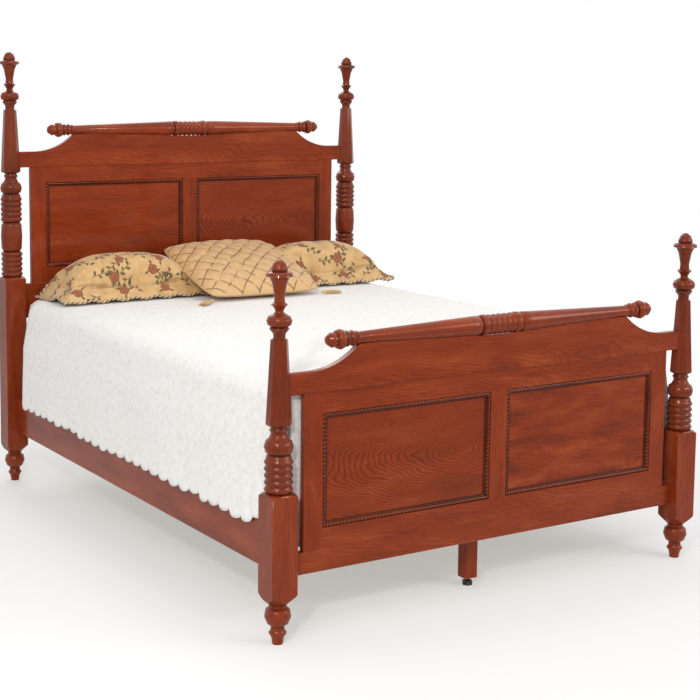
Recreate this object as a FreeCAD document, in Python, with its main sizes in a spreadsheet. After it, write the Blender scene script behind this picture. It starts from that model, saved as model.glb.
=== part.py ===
import FreeCAD, Part
import math
import os
import Sketcher

# Spindle bed for a queen mattress: four turned posts with octagonal shafts, a headboard and a
# footboard alike (panelled frame, scooped top rail, turned blanket roll), hooked side rails,
# slats with centre legs, and the made-up bedding. Millimetres.
# Origin on the floor at the bed's centre: +X across the bed, +Y to the head, +Z up.

SIZES = (
    # the whole bed
    ("postSpacingX", 1594, "between post centres across the bed"),
    ("postSpacingY", 2084, "between post centres along the bed"),
    ("fitGap", 0.3, "clearance where one piece sits in another"),
    # posts: the square block
    ("blockSide", 86, "square block of a post"),
    ("footBlockTop", 450, "top of a foot post's block"),
    ("headBlockTop", 835, "top of a head post's block"),
    ("blockTaper", 37, "height of the cone under the block"),
    ("shoulderDrop", 20, "fall of the turned shoulder to the block's corners"),
    ("shoulderBulge", 3, "swell of the turned shoulder"),
    ("shoulderRadius", 38, "inner radius of the turned shoulder"),
    ("blockEase", 3, "rounding of the block's long edges"),
    # posts: the turned foot
    ("tipRadius", 16, "foot at the floor"),
    ("tipHeight", 12, "tip of the foot"),
    ("tipTopRadius", 17.5, "tip of the foot at its top"),
    ("tipTaper", 11.5, "flare above the tip"),
    ("tipWaistRadius", 20.5, "foot on both sides of its ring"),
    ("footRingHeight", 20.5, "ring of the foot"),
    ("footRingBulge", 6.5, "swell of the foot's ring"),
    ("footStemHeight", 10, "stem between the foot's ring and ball"),
    ("footBallHeight", 57, "ball of the foot"),
    ("footBallBulge", 16.5, "swell of the foot's ball"),
    ("ankleRadius", 26, "neck between the foot's ball and the block"),
    ("ankleHeight", 6, "height of that neck"),
    # posts: stacked rings and the vase of a head post
    ("ringCount", 5, "rings in a stack"),
    ("ringPitch", 20, "height of one ring"),
    ("ringRoot", 37.5, "radius between the rings"),
    ("ringBulge", 5.5, "swell of a ring"),
    ("vaseHeight", 120, "vase between a head post's two stacks of rings"),
    ("vaseNeckRadius", 32, "vase at its ends"),
    ("vaseBodyRadius", 40.5, "vase where its body starts"),
    ("vaseShoulder", 22, "rounded end of the vase"),
    ("vaseShoulderBulge", 3, "swell of that rounded end"),
    ("vaseBulge", 2, "swell of the vase's body"),
    # posts: ball, collar and neck under the octagon
    ("collarHeight", 12, "small bead over the rings"),
    ("collarRadius", 31.5, "groove over that bead"),
    ("collarBulge", 2.5, "swell of that bead"),
    ("ballHeight", 46, "ball under the octagon"),
    ("ballTopRadius", 30, "ball where its neck starts"),
    ("ballBulge", 12.5, "swell of the ball"),
    ("ballNeckRise", 12, "neck over the ball"),
    ("ballNeckRadius", 23.4, "neck over the ball"),
    ("ballNeckHeight", 6, "straight part of that neck"),
    ("neckRingHeight", 12.5, "ring under the octagon"),
    ("neckRingBulge", 4.6, "swell of that ring"),
    ("neckCove", 3.5, "cove between that ring and the octagon"),
    # posts: the octagonal shaft
    ("octagonRise", 251.6, "octagonal shaft"),
    ("octagonBottomRadius", 39, "shaft at the bottom, over its corners"),
    ("octagonTopRadius", 25.4, "shaft at the top, over its corners"),
    ("octagonEase", 14.5, "turned rounding under the shaft"),
    ("octagonEaseBulge", 3, "swell of that rounding"),
    # posts: finial
    ("spoolRadius", 19, "cove on the octagon"),
    ("spoolHeight", 18, "height of that cove"),
    ("spoolCove", 1.5, "hollow of that cove"),
    ("spoolLip", 24, "flare over that cove"),
    ("spoolLipRise", 6, "rise of that flare"),
    ("upperRingHeight", 14, "ring under the upper ball"),
    ("upperRingBulge", 5, "swell of that ring"),
    ("upperBallHeight", 33, "upper ball"),
    ("upperBallRoot", 27.5, "upper ball at its bottom"),
    ("upperBallTop", 24, "upper ball where its neck starts"),
    ("upperBallBulge", 11.5, "swell of the upper ball"),
    ("waistRise", 9, "hollow over the upper ball"),
    ("waistHollow", 2.5, "depth of that hollow"),
    ("waistRadius", 12.3, "thinnest place of the finial"),
    ("waistHeight", 4, "height of that place"),
    ("waistFlare", 11, "flare under the small ring"),
    ("smallRingRoot", 19, "small ring at its bottom"),
    ("smallRingHeight", 10, "small ring"),
    ("smallRingBulge", 5.5, "swell of the small ring"),
    ("cupNeckRadius", 16, "cup at its bottom"),
    ("cupHeight", 72, "cup"),
    ("cupLipRadius", 29, "cup at its top"),
    ("cupHollow", 4.5, "hollow of the cup's side"),
    ("discHeight", 18, "disc over the cup"),
    ("discBulge", 12, "swell of the disc"),
    ("discTopRadius", 24, "disc at its top"),
    ("acornRadius", 22.5, "acorn at its bottom"),
    ("acornHeight", 31, "acorn"),
    ("acornTipRadius", 9, "acorn at its tip"),
    ("acornBulge", 5, "swell of the acorn"),
    ("acornTipRise", 3, "rise of its blunt tip"),
    # headboard and footboard
    ("footRailBottom", 195.5, "underside of the footboard's lower rail"),
    ("footRailDepth", 65.5, "depth of the footboard's lower rail"),
    ("headRailBottom", 663, "underside of the headboard's lower rail"),
    ("headRailDepth", 139, "depth of the headboard's lower rail"),
    ("railThickness", 25, "top rails and lower rails"),
    ("railEase", 2, "eased long edges of those rails"),
    ("tenonThickness", 12, "tenons of the rails"),
    ("blockTenonInset", 20, "end of a lower rail's tenon from the post's axis"),
    ("shaftTenonInset", 14, "end of a top rail's tenon from the post's axis"),
    ("mortiseSpare", 1.5, "mortise past the end of its tenon"),
    ("tenonShoulder", 8, "shoulder over and under a tenon"),
    ("frameWidth", 1434, "panelled frame"),
    ("frameHeight", 468, "panelled frame"),
    ("frameThickness", 19, "panelled frame"),
    ("stileWidth", 65, "outer stiles"),
    ("muntinWidth", 64, "middle stile"),
    ("frameRailWidth", 63, "frame rails"),
    ("tongueThickness", 8, "tongue of the frame in the rails"),
    ("tongueHeight", 7, "tongue of the frame in the rails"),
    ("panelThickness", 6, "panels"),
    ("panelSetback", 10, "panel face behind the frame's face"),
    ("grooveDepth", 9, "grooves that hold the panels"),
    ("panelPlay", 1, "panel's room to move in its grooves"),
    ("topRailEnd", 62.5, "top rail at its ends"),
    ("topRailRise", 131, "top rail under the roll"),
    ("scoopOuter", 700, "where the scoop starts, from the middle"),
    ("scoopHollow", 17.8, "hollow of the scoop"),
    # rope moulding
    ("mouldingWidth", 17, "moulding round a panel"),
    ("ropeRadius", 5.2, "rope bead"),
    ("ropeInset", 0.8, "rope bead from the frame's edge"),
    ("lipSetback", 6.5, "inner lip behind the frame's face"),
    ("lipWidth", 4, "inner lip"),
    # blanket roll, all radii from its axis and lengths from its middle outwards
    ("rollHeight", 148, "roll axis over the top rail's underside"),
    ("rollSeatGap", 0.6, "room round the roll in the top rail's cove"),
    ("rollRingCount", 5, "rings at the roll's middle"),
    ("rollRingPitch", 21, "width of one ring"),
    ("rollRingRoot", 27.5, "radius between those rings"),
    ("rollRingBulge", 4, "swell of those rings"),
    ("rollCollarWidth", 24, "collar at each end of the rings"),
    ("rollCollarBulge", 5, "swell of that collar"),
    ("rollGap", 4, "groove beside the collar"),
    ("rollGapRadius", 26, "radius in that groove"),
    ("rollMiddleRadius", 31, "taper next to the collar"),
    ("rollMiddleRound", 7, "rounded end of the taper"),
    ("rollTaperLength", 440, "taper"),
    ("rollNeckRadius", 17.6, "taper at its thin end"),
    ("rollStepWidth", 14, "smallest end ring"),
    ("rollStepBulge", 3.2, "its swell"),
    ("rollRingWidth", 18, "two end rings"),
    ("rollRingRootEnd", 18, "radius between the end rings"),
    ("rollStepRoot", 17.5, "radius at the smallest end ring"),
    ("rollEndRingBulge", 6, "their swell"),
    ("rollDiscWidth", 30, "large end disc"),
    ("rollDiscBulge", 10.5, "its swell"),
    ("rollDiscRoot", 20, "disc at its sides"),
    ("rollTipLength", 30, "rounded tip"),
    ("rollTipRadius", 12, "tip where its end rounds over"),
    ("rollTipBulge", 6.5, "swell of the tip"),
    ("rollTipEnd", 3.5, "end cap of the tip"),
    # side rails and slats
    ("sideRailBottom", 205, "underside of a side rail"),
    ("sideRailDepth", 140, "side rail"),
    ("sideRailThickness", 25, "side rail"),
    ("sideRailOutset", 2, "side rail's outer face past the post centres"),
    ("cleatWidth", 25, "strip that carries the slats"),
    ("cleatDepth", 34, "strip that carries the slats"),
    ("cleatRise", 6, "strip over the rail's underside"),
    ("slatCount", 5, "slats"),
    ("slatWidth", 89, "slat"),
    ("slatThickness", 19, "slat"),
    ("slatPitch", 455, "between slat centres"),
    ("slatEndGap", 3, "slat's end from the side rail"),
    ("legSide", 44, "square centre leg"),
    ("levellerHeight", 14, "foot of a centre leg"),
    ("levellerRadius", 17, "foot of a centre leg"),
    ("levellerTravel", 12, "how far a centre foot screws up"),
    ("stemRadius", 5, "threaded stem of a centre foot"),
    ("stemLength", 40, "threaded stem of a centre foot"),
    # hooked fittings
    ("plateHeight", 112, "fitting plates"),
    ("plateWidth", 17, "fitting plates"),
    ("plateThickness", 3, "fitting plates"),
    ("hookThickness", 3, "hooks"),
    ("hookReach", 13, "hooks past their plate"),
    ("hookHeight", 24, "hook at its root"),
    ("hookNose", 5, "slant of the hook's nose"),
    ("hookDrop", 9, "hook's nose under its root"),
    ("hookSpacing", 62, "between the two hooks"),
    # bedding
    ("mattressWidth", 1524, "queen mattress"),
    ("mattressLength", 2032, "queen mattress"),
    ("mattressHeight", 265, "mattress"),
    ("mattressCorner", 70, "mattress corners seen from above"),
    ("mattressEdge", 50, "rounding of the mattress's top edges"),
    ("foundationHeight", 215, "box spring"),
    ("clothGap", 0.5, "clearance under the coverlet"),
    ("coverletThickness", 5, "quilted coverlet"),
    ("coverletHem", 322, "hem of the coverlet over the floor"),
    ("coverletHeadEdge", 91, "coverlet's edge from the mattress's head end"),
    ("coverletFootEdge", 14, "side drop's edge from a foot post's block"),
    ("coverletRound", 66, "coverlet's round over the mattress's side"),
    ("coverletTopSpread", 15, "side drop's top past the mattress's side"),
    ("coverletSpread", 38, "side drop past the mattress's side where it starts to hang down"),
    ("coverletSpreadDrop", 185, "where it starts to hang down, under the coverlet's top"),
    ("coverletFlare", 13, "hem of the side drop past the side rail"),
    ("scallopCount", 28, "scallops along one side"),
    ("scallopDepth", 13, "depth of a scallop"),
    ("footDropWidth", 1490, "coverlet's fall at the foot end"),
    ("footHem", 404, "hem of that fall over the floor"),
    ("footRound", 34, "coverlet's round over the mattress's foot end"),
    ("shamWidth", 646, "pillow sham with its flange"),
    ("shamDepth", 300, "pillow sham with its flange"),
    ("shamRise", 130, "crown of a pillow sham over its flange"),
    ("shamBelly", 16, "underside of a pillow sham under its flange"),
    ("shamTilt", 9, "degrees that a sham leans towards the headboard"),
    ("shamFront", 696, "front edge of the shams from the middle"),
    ("shamLift", 3.2, "front edge of a sham's flange over the coverlet"),
    ("shamFlange", 38, "flat border of a sham"),
    ("flangeThickness", 5, "flat border of a sham"),
    ("leftShamShift", -467, "centre of the left sham from the middle"),
    ("rightShamShift", 513, "centre of the right sham from the middle"),
    ("cushionWidth", 520, "square accent cushion"),
    ("cushionDepth", 490, "square accent cushion"),
    ("cushionCrown", 48, "crown of the accent cushion on each side"),
    ("cushionLift", 19.5, "front edge of the cushion over the coverlet"),
    ("cushionTilt", 19, "degrees that the accent cushion leans"),
    ("cushionFront", 512, "front edge of the cushion from the middle"),
    ("cushionShift", 85, "centre of the cushion from the middle"),
    ("cushionPress", 1, "clearance where the cushion is pressed over the shams"),
    ("drawnIn", 0.07, "slope of a cushion's sides, drawn in between its corners"),
    ("cornerRound", 22, "corners of a cushion seen from above"),
    ("tasselRadius", 9, "tassel's skirt"),
    ("tasselLength", 52, "tassel's skirt"),
    ("tasselCap", 14, "tassel's bound head"),
    ("tasselCapRadius", 7, "tassel's bound head"),
    ("tasselCord", 26, "cord between the cushion and a tassel"),
    ("tasselCordRadius", 2.5, "cord between the cushion and a tassel"),
    ("leftTasselTurn", -57, "degrees that the left tassel points away from the foot"),
    ("rightTasselTurn", 2, "degrees that the right tassel points away from the foot"),
)

# the crown of a cushion: degrees round its edge where its sections are taken, and how full it is
CROWN_ANGLES = (9, 30, 58, 90, 122, 150, 171)
CROWN_POWER = 0.55

# flats of the octagonal shaft face the bed's own axes
FLAT_ANGLE = 22.5

# just past a square's corner, as a part of its side
CORNER_REACH = 0.75

# crest lines of a turned bead: each a part of its length and of its swell
RIDGE = ((0.5, 1.0),)
BAND = ((0.24, 1.0), (0.76, 1.0))
ROUND = ((0.15, 0.66), (0.5, 1.0), (0.85, 0.66))

# swell of a bead as a part of its radius, just short of a half circle
NEARLY_HALF_ROUND = 0.98

# swell of a quarter circle as a part of its radius
QUARTER_SWELL = 1 - math.sqrt(0.5)


class Size:
    """A length in millimetres with the sheet formula that keeps the model bound to it."""

    def __init__(self, value, formula):
        self.value = value
        self.formula = formula

    def join(self, sign, other, value):
        return Size(value, "(%s %s %s)" % (self.formula, sign, formula_of(other)))

    def __add__(self, other):
        return self.join("+", other, self.value + value_of(other))

    def __radd__(self, other):
        return self.join("+", other, self.value + other)

    def __sub__(self, other):
        return self.join("-", other, self.value - value_of(other))

    def __rsub__(self, other):
        return (self * -1) + other

    def __mul__(self, other):
        return self.join("*", other, self.value * value_of(other))

    def __rmul__(self, other):
        return self.join("*", other, self.value * other)

    def __truediv__(self, other):
        return self.join("/", other, self.value / value_of(other))

    def __neg__(self):
        return self * -1


def value_of(number):
    return number.value if isinstance(number, Size) else float(number)


def formula_of(number):
    return number.formula if isinstance(number, Size) else "(%.12g)" % number


class Sheet:
    """The driving dimensions: each is a cell of the spreadsheet and an attribute here."""

    def __init__(self, document, rows):
        self.cells = document.addObject("Spreadsheet::Sheet", "Sizes")
        for row, (alias, value, words) in enumerate(rows, start=1):
            self.cells.set("A%d" % row, words)
            self.cells.set("B%d" % row, str(value))
            self.cells.setAlias("B%d" % row, alias)
            setattr(self, alias, Size(float(value), "Sizes." + alias))


doc = FreeCAD.newDocument("SpindleBed")
S = Sheet(doc, SIZES)
doc.recompute()
PARTS = []
CUTS = []


# ---- sketches and features ----------------------------------------------------------------

def new_body(label, x=0.0, y=0.0, z=0.0, kept=True):
    """A sub-part; its label is its name, and its place is bound to the sheet."""
    body = doc.addObject("PartDesign::Body", label)
    body.Label = label
    body.AllowCompound = True
    place(body, x, y, z)
    if kept:
        PARTS.append(body)
    return body


def place(thing, x=0.0, y=0.0, z=0.0):
    for axis, distance in (("x", x), ("y", y), ("z", z)):
        thing.setExpression(".Placement.Base." + axis, formula_of(distance))


def new_sketch(body, name, plane, offset=0.0, raise_axis=0.0):
    """A sketch on an origin plane of its body, moved by offset along +X, +Y or +Z."""
    sketch = body.newObject("Sketcher::SketchObject", name)
    origin = [item for item in body.Origin.OriginFeatures if item.Role == plane][0]
    sketch.AttachmentSupport = [(origin, "")]
    sketch.MapMode = "FlatFace"
    along_normal = offset * -1 if plane == "XZ_Plane" else offset
    sketch.setExpression(".AttachmentOffset.Base.z", formula_of(along_normal))
    sketch.setExpression(".AttachmentOffset.Base.y", formula_of(raise_axis))
    return sketch


def shift_sketch(sketch, x, turn):
    """Move a sketch along its first axis and turn it in its plane, in degrees."""
    sketch.setExpression(".AttachmentOffset.Base.x", formula_of(x))
    sketch.setExpression(".AttachmentOffset.Rotation.Angle", formula_of(turn))


def arc_between(start, end, bulge):
    """Arc from start to end that swells by bulge to the right of its way, with its radius."""
    dx = end[0] - start[0]
    dy = end[1] - start[1]
    radius = ((dx * dx + dy * dy) / 4 + bulge * bulge) / (bulge * 2)
    if value_of(bulge) < 0:
        radius = radius * -1
    a = FreeCAD.Vector(value_of(start[0]), value_of(start[1]), 0)
    b = FreeCAD.Vector(value_of(end[0]), value_of(end[1]), 0)
    right = FreeCAD.Vector(b.y - a.y, a.x - b.x, 0).normalize()
    turn = 1 if value_of(bulge) > 0 else -1
    centre = (a + b) / 2 + right * (value_of(bulge) - turn * value_of(radius))
    first, last = (a, b) if turn > 0 else (b, a)
    start_angle = math.atan2(first.y - centre.y, first.x - centre.x)
    end_angle = math.atan2(last.y - centre.y, last.x - centre.x)
    if end_angle <= start_angle:
        end_angle += 2 * math.pi
    circle = Part.Circle(centre, FreeCAD.Vector(0, 0, 1), value_of(radius))
    return Part.ArcOfCircle(circle, start_angle, end_angle), radius, turn


def draw(sketch, points):
    """Closed outline through points, each (x, y) after a line or (x, y, bulge) after an arc."""
    base = sketch.GeometryCount
    count = len(points)
    geometry = []
    ends = []
    rules = []
    bound = []
    for i, here in enumerate(points):
        there = points[(i + 1) % count]
        if len(there) > 2:
            arc, radius, turn = arc_between(here, there, there[2])
            geometry.append(arc)
            ends.append((1, 2) if turn > 0 else (2, 1))
            rules.append(Sketcher.Constraint("Radius", base + i, value_of(radius)))
            bound.append(radius)
        else:
            a = FreeCAD.Vector(value_of(here[0]), value_of(here[1]), 0)
            b = FreeCAD.Vector(value_of(there[0]), value_of(there[1]), 0)
            geometry.append(Part.LineSegment(a, b))
            ends.append((1, 2))
    for i, here in enumerate(points):
        start = ends[i][0]
        rules.append(Sketcher.Constraint("DistanceX", -1, 1, base + i, start, value_of(here[0])))
        bound.append(here[0])
        rules.append(Sketcher.Constraint("DistanceY", -1, 1, base + i, start, value_of(here[1])))
        bound.append(here[1])
    joints = []
    for i in range(count):
        after = (i + 1) % count
        joints.append(Sketcher.Constraint("Coincident", base + i, ends[i][1],
                                          base + after, ends[after][0]))
    sketch.addGeometry(geometry)
    sketch.addConstraint(joints)
    first = sketch.ConstraintCount
    sketch.addConstraint(rules)
    for i, size in enumerate(bound):
        sketch.setExpression("Constraints[%d]" % (first + i), formula_of(size))
    return sketch


def draw_box(sketch, x0, x1, y0, y1):
    return draw(sketch, [(x0, y0), (x1, y0), (x1, y1), (x0, y1)])


def draw_circle(sketch, x, y, radius):
    centre = FreeCAD.Vector(value_of(x), value_of(y), 0)
    circle = Part.Circle(centre, FreeCAD.Vector(0, 0, 1), value_of(radius))
    index = sketch.addGeometry(circle)
    first = sketch.ConstraintCount
    sketch.addConstraint([
        Sketcher.Constraint("Radius", index, value_of(radius)),
        Sketcher.Constraint("DistanceX", -1, 1, index, 3, value_of(x)),
        Sketcher.Constraint("DistanceY", -1, 1, index, 3, value_of(y)),
    ])
    for i, size in enumerate((radius, x, y)):
        sketch.setExpression("Constraints[%d]" % (first + i), formula_of(size))
    return sketch


def pad(body, name, sketch, length):
    """Pad as far on one side of its sketch as on the other."""
    feature = body.newObject("PartDesign::Pad", name)
    feature.Profile = sketch
    feature.Midplane = True
    feature.setExpression("Length", formula_of(length))
    return feature


def pad_up(body, name, sketch, length):
    feature = body.newObject("PartDesign::Pad", name)
    feature.Profile = sketch
    feature.setExpression("Length", formula_of(length))
    return feature


def pocket(body, name, sketch, length):
    """Pocket as deep on one side of its sketch as on the other."""
    feature = body.newObject("PartDesign::Pocket", name)
    feature.Profile = sketch
    feature.Midplane = True
    feature.setExpression("Length", formula_of(length))
    CUTS.append(feature)
    return feature


def revolve(body, name, sketch, axis="V_Axis"):
    feature = body.newObject("PartDesign::Revolution", name)
    feature.Profile = sketch
    feature.ReferenceAxis = (sketch, [axis])
    feature.Angle = 360
    return feature


def turn_away(body, name, sketch, axis="V_Axis"):
    feature = body.newObject("PartDesign::Groove", name)
    feature.Profile = sketch
    feature.ReferenceAxis = (sketch, [axis])
    feature.Angle = 360
    CUTS.append(feature)
    return feature


def ease_edges(body, name, feature, size, wanted):
    """Narrow chamfer on the edges of a feature that the function wanted accepts."""
    doc.recompute()
    names = ["Edge%d" % (i + 1) for i, edge in enumerate(feature.Shape.Edges) if wanted(edge)]
    chamfer = body.newObject("PartDesign::Chamfer", name)
    chamfer.Base = (feature, names)
    chamfer.setExpression("Size", formula_of(size))
    return chamfer


def runs_along(edge, axis):
    a, b = edge.Vertexes[0].Point, edge.Vertexes[-1].Point
    return abs(abs((b - a).normalize().dot(axis)) - 1) < 1e-6


X_AXIS = FreeCAD.Vector(1, 0, 0)
Y_AXIS = FreeCAD.Vector(0, 1, 0)
Z_AXIS = FreeCAD.Vector(0, 0, 1)


class Turning:
    """Half outline of a turned piece, built up along its axis as (radius, distance)."""

    def __init__(self, radius):
        self.radius = radius
        self.along = 0.0
        self.points = [(0.0, 0.0), (radius, 0.0)]

    def to(self, length, radius, swell=None, crest=RIDGE):
        """Straight to a radius, or over the crest lines of a bead or hollow on the way."""
        for part, full in crest if swell is not None else ():
            between = self.radius + (radius - self.radius) * part + swell * full
            self.points.append((between, self.along + length * part))
        self.along = self.along + length
        self.radius = radius
        self.points.append((radius, self.along))

    def straight(self, length):
        self.to(length, self.radius)

    def straight_to(self, along):
        self.along = along
        self.points.append((self.radius, along))

    def bead(self, length, swell, crest=RIDGE):
        self.to(length, self.radius, swell, crest)

    def step(self, radius):
        self.radius = radius
        self.points.append((radius, self.along))


def ordered(sign, near, far):
    """Two distances from an axis on the side that sign gives, the smaller value first."""
    return (near, far) if sign > 0 else (far * -1, near * -1)


# ---- posts --------------------------------------------------------------------------------

def plate_middle():
    """Height of the hooked fittings' middle over the floor."""
    return S.sideRailBottom + S.sideRailDepth / 2


def hook_heights():
    """Undersides of the two hooks of a fitting, over the floor."""
    low = plate_middle() - (S.hookSpacing + S.hookHeight) / 2
    return low, low + S.hookSpacing


def turn_rings(turning):
    """A stack of rounded rings."""
    turning.step(S.ringRoot)
    for _ in range(int(S.ringCount.value)):
        turning.bead(S.ringPitch, S.ringBulge)


def turn_vase(turning):
    turning.step(S.vaseNeckRadius)
    turning.to(S.vaseShoulder, S.vaseBodyRadius, S.vaseShoulderBulge)
    turning.bead(S.vaseHeight - S.vaseShoulder * 2, S.vaseBulge)
    turning.to(S.vaseShoulder, S.vaseNeckRadius, S.vaseShoulderBulge)


def turn_foot(turning):
    turning.to(S.tipHeight, S.tipTopRadius)
    turning.to(S.tipTaper, S.tipWaistRadius)
    turning.bead(S.footRingHeight, S.footRingBulge)
    turning.straight(S.footStemHeight)
    turning.to(S.footBallHeight, S.ankleRadius, S.footBallBulge, ROUND)
    turning.straight(S.ankleHeight)


def turn_ball(turning):
    turning.to(S.collarHeight, S.collarRadius, S.collarBulge)
    turning.to(S.ballHeight, S.ballTopRadius, S.ballBulge, ROUND)
    turning.to(S.ballNeckRise, S.ballNeckRadius)
    turning.straight(S.ballNeckHeight)
    turning.bead(S.neckRingHeight, S.neckRingBulge)
    turning.straight(S.neckCove)


def turn_finial(turning):
    turning.bead(S.spoolHeight, -S.spoolCove)
    turning.to(S.spoolLipRise, S.spoolLip)
    turning.bead(S.upperRingHeight, S.upperRingBulge)
    turning.step(S.upperBallRoot)
    turning.to(S.upperBallHeight, S.upperBallTop, S.upperBallBulge, ROUND)
    turning.to(S.waistRise, S.waistRadius, -S.waistHollow)
    turning.straight(S.waistHeight)
    turning.to(S.waistFlare, S.smallRingRoot)
    turning.bead(S.smallRingHeight, S.smallRingBulge)
    turning.step(S.cupNeckRadius)
    turning.to(S.cupHeight, S.cupLipRadius, -S.cupHollow, BAND)
    turning.to(S.discHeight, S.discTopRadius, S.discBulge, BAND)
    turning.step(S.acornRadius)
    turning.to(S.acornHeight, S.acornTipRadius, S.acornBulge, BAND)
    turning.to(S.acornTipRise, 0.0)


def foot_rise():
    return (S.tipHeight + S.tipTaper + S.footRingHeight + S.footStemHeight
            + S.footBallHeight + S.ankleHeight)


def shaft_bottom(is_head):
    """Height of the octagonal shaft's lower end over the floor."""
    rings = S.ringPitch * S.ringCount
    block_top = S.headBlockTop + S.vaseHeight + rings if is_head else S.footBlockTop
    return (block_top + rings + S.collarHeight + S.ballHeight + S.ballNeckRise
            + S.ballNeckHeight + S.neckRingHeight + S.neckCove)


def shaft_flat(height, is_head):
    """Distance from the post's axis to the shaft's flat at a height over the floor."""
    part = (height - shaft_bottom(is_head)) / S.octagonRise
    corner = S.octagonBottomRadius - (S.octagonBottomRadius - S.octagonTopRadius) * part
    return corner * math.cos(math.radians(FLAT_ANGLE))


def octagon(radius):
    angles = [math.radians(FLAT_ANGLE + 45 * i) for i in range(8)]
    return [(radius * math.cos(angle), radius * math.sin(angle)) for angle in angles]


def add_block(body, bottom, top):
    """Square block with eased long edges, a turned shoulder above and a cone below."""
    half = S.blockSide / 2
    square = draw_box(new_sketch(body, "BlockSquare", "XY_Plane", bottom), -half, half, -half, half)
    block = pad_up(body, "Block", square, top - bottom)
    ease_edges(body, "BlockEase", block, S.blockEase, lambda edge: runs_along(edge, Z_AXIS))
    outside = S.blockSide * CORNER_REACH
    shoulder = draw(new_sketch(body, "ShoulderOutline", "XZ_Plane"), [
        (S.shoulderRadius, top),
        (outside, top - S.shoulderDrop, -S.shoulderBulge),
        (outside, top + S.shoulderDrop),
        (S.shoulderRadius, top + S.shoulderDrop),
    ])
    turn_away(body, "Shoulder", shoulder)
    cone = draw(new_sketch(body, "ConeOutline", "XZ_Plane"), [
        (S.ankleRadius, bottom - S.ankleHeight),
        (outside, bottom - S.ankleHeight),
        (outside, bottom + S.blockTaper),
        (S.ankleRadius, bottom),
    ])
    turn_away(body, "Cone", cone)


def add_shaft(body, bottom):
    """Tapered octagonal shaft, turned round at its lower end."""
    low = draw(new_sketch(body, "ShaftBottom", "XY_Plane", bottom), octagon(S.octagonBottomRadius))
    high = draw(new_sketch(body, "ShaftTop", "XY_Plane", bottom + S.octagonRise),
                octagon(S.octagonTopRadius))
    shaft = body.newObject("PartDesign::AdditiveLoft", "Shaft")
    shaft.Profile = low
    shaft.Sections = [high]
    shaft.Ruled = True
    outside = S.octagonBottomRadius + S.octagonEaseBulge
    ease = draw(new_sketch(body, "ShaftEaseOutline", "XZ_Plane"), [
        (S.ballNeckRadius, bottom, -S.octagonEaseBulge),
        (outside, bottom),
        (outside, bottom + S.octagonEase),
    ])
    turn_away(body, "ShaftEase", ease)


def cut_mortises(body, across, along, is_head):
    """Mortises for the top rail and the lower rail, and the seat of the side rail's catch plate."""
    inward = -across
    deep = S.shaftTenonInset - S.mortiseSpare
    bottom = rail_heights(is_head)[1] + S.tenonShoulder - S.fitGap
    top = bottom + S.topRailEnd - S.tenonShoulder * 2 + S.fitGap * 2
    sketch = draw_box(new_sketch(body, "TopMortiseOutline", "XZ_Plane"),
                      *ordered(inward, deep, S.blockSide), bottom, top)
    pocket(body, "TopMortise", sketch, S.tenonThickness + S.fitGap * 2)
    deep = S.blockTenonInset - S.mortiseSpare
    low, depth = lower_rail(is_head)
    bottom = low + S.tenonShoulder - S.fitGap
    top = low + depth - S.tenonShoulder + S.fitGap
    sketch = draw_box(new_sketch(body, "LowMortiseOutline", "XZ_Plane"),
                      *ordered(inward, deep, S.blockSide), bottom, top)
    pocket(body, "LowMortise", sketch, S.tenonThickness + S.fitGap * 2)
    face = S.blockSide / 2
    centre = (S.sideRailOutset - S.sideRailThickness / 2) * across
    middle = plate_middle()
    sketch = draw_box(new_sketch(body, "PlateSeatOutline", "YZ_Plane", centre),
                      *ordered(-along, face - S.plateThickness - S.fitGap, S.blockSide),
                      middle - S.plateHeight / 2 - S.fitGap, middle + S.plateHeight / 2 + S.fitGap)
    pocket(body, "PlateSeat", sketch, S.plateWidth + S.fitGap * 2)
    first, last = hook_heights()
    sketch = draw_box(new_sketch(body, "HookRoomOutline", "YZ_Plane", centre),
                      *ordered(-along, face - S.hookReach - S.mortiseSpare, face),
                      first - S.hookDrop - S.mortiseSpare, last + S.hookHeight + S.hookDrop)
    pocket(body, "HookRoom", sketch, S.hookThickness + S.mortiseSpare * 2)


def make_post(label, across, along):
    """Turned post: across is -1 on the left and 1 on the right, along is 1 at the head."""
    is_head = along > 0
    block_top = S.headBlockTop if is_head else S.footBlockTop
    body = new_body(label, S.postSpacingX / 2 * across, S.postSpacingY / 2 * along)
    add_block(body, foot_rise(), block_top)
    add_shaft(body, shaft_bottom(is_head))
    turning = Turning(S.tipRadius)
    turn_foot(turning)
    turning.straight_to(block_top)
    turn_rings(turning)
    if is_head:
        turn_vase(turning)
        turn_rings(turning)
    turn_ball(turning)
    turning.to(S.octagonRise, S.spoolRadius)
    turn_finial(turning)
    revolve(body, "Turning", draw(new_sketch(body, "TurningOutline", "XZ_Plane"), turning.points))
    cut_mortises(body, across, along, is_head)


# ---- headboard and footboard ---------------------------------------------------------------

def lower_rail(is_head):
    """Height and depth of a board's lower rail."""
    if is_head:
        return S.headRailBottom, S.headRailDepth
    return S.footRailBottom, S.footRailDepth


def rail_heights(is_head):
    """Heights where the panelled frame starts and where the top rail starts."""
    low, depth = lower_rail(is_head)
    return low + depth, low + depth + S.frameHeight


def opening_width():
    return (S.frameWidth - S.stileWidth * 2 - S.muntinWidth) / 2


def turn_roll_end(turning):
    """End of the roll: tip, disc, two rings and a small ring."""
    turning.to(S.rollTipLength, S.rollDiscRoot, S.rollTipBulge)
    turning.bead(S.rollDiscWidth, S.rollDiscBulge, ROUND)
    turning.step(S.rollRingRootEnd)
    turning.bead(S.rollRingWidth, S.rollEndRingBulge)
    turning.bead(S.rollRingWidth, S.rollEndRingBulge)
    turning.step(S.rollStepRoot)
    turning.bead(S.rollStepWidth, S.rollStepBulge)
    turning.step(S.rollNeckRadius)


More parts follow.
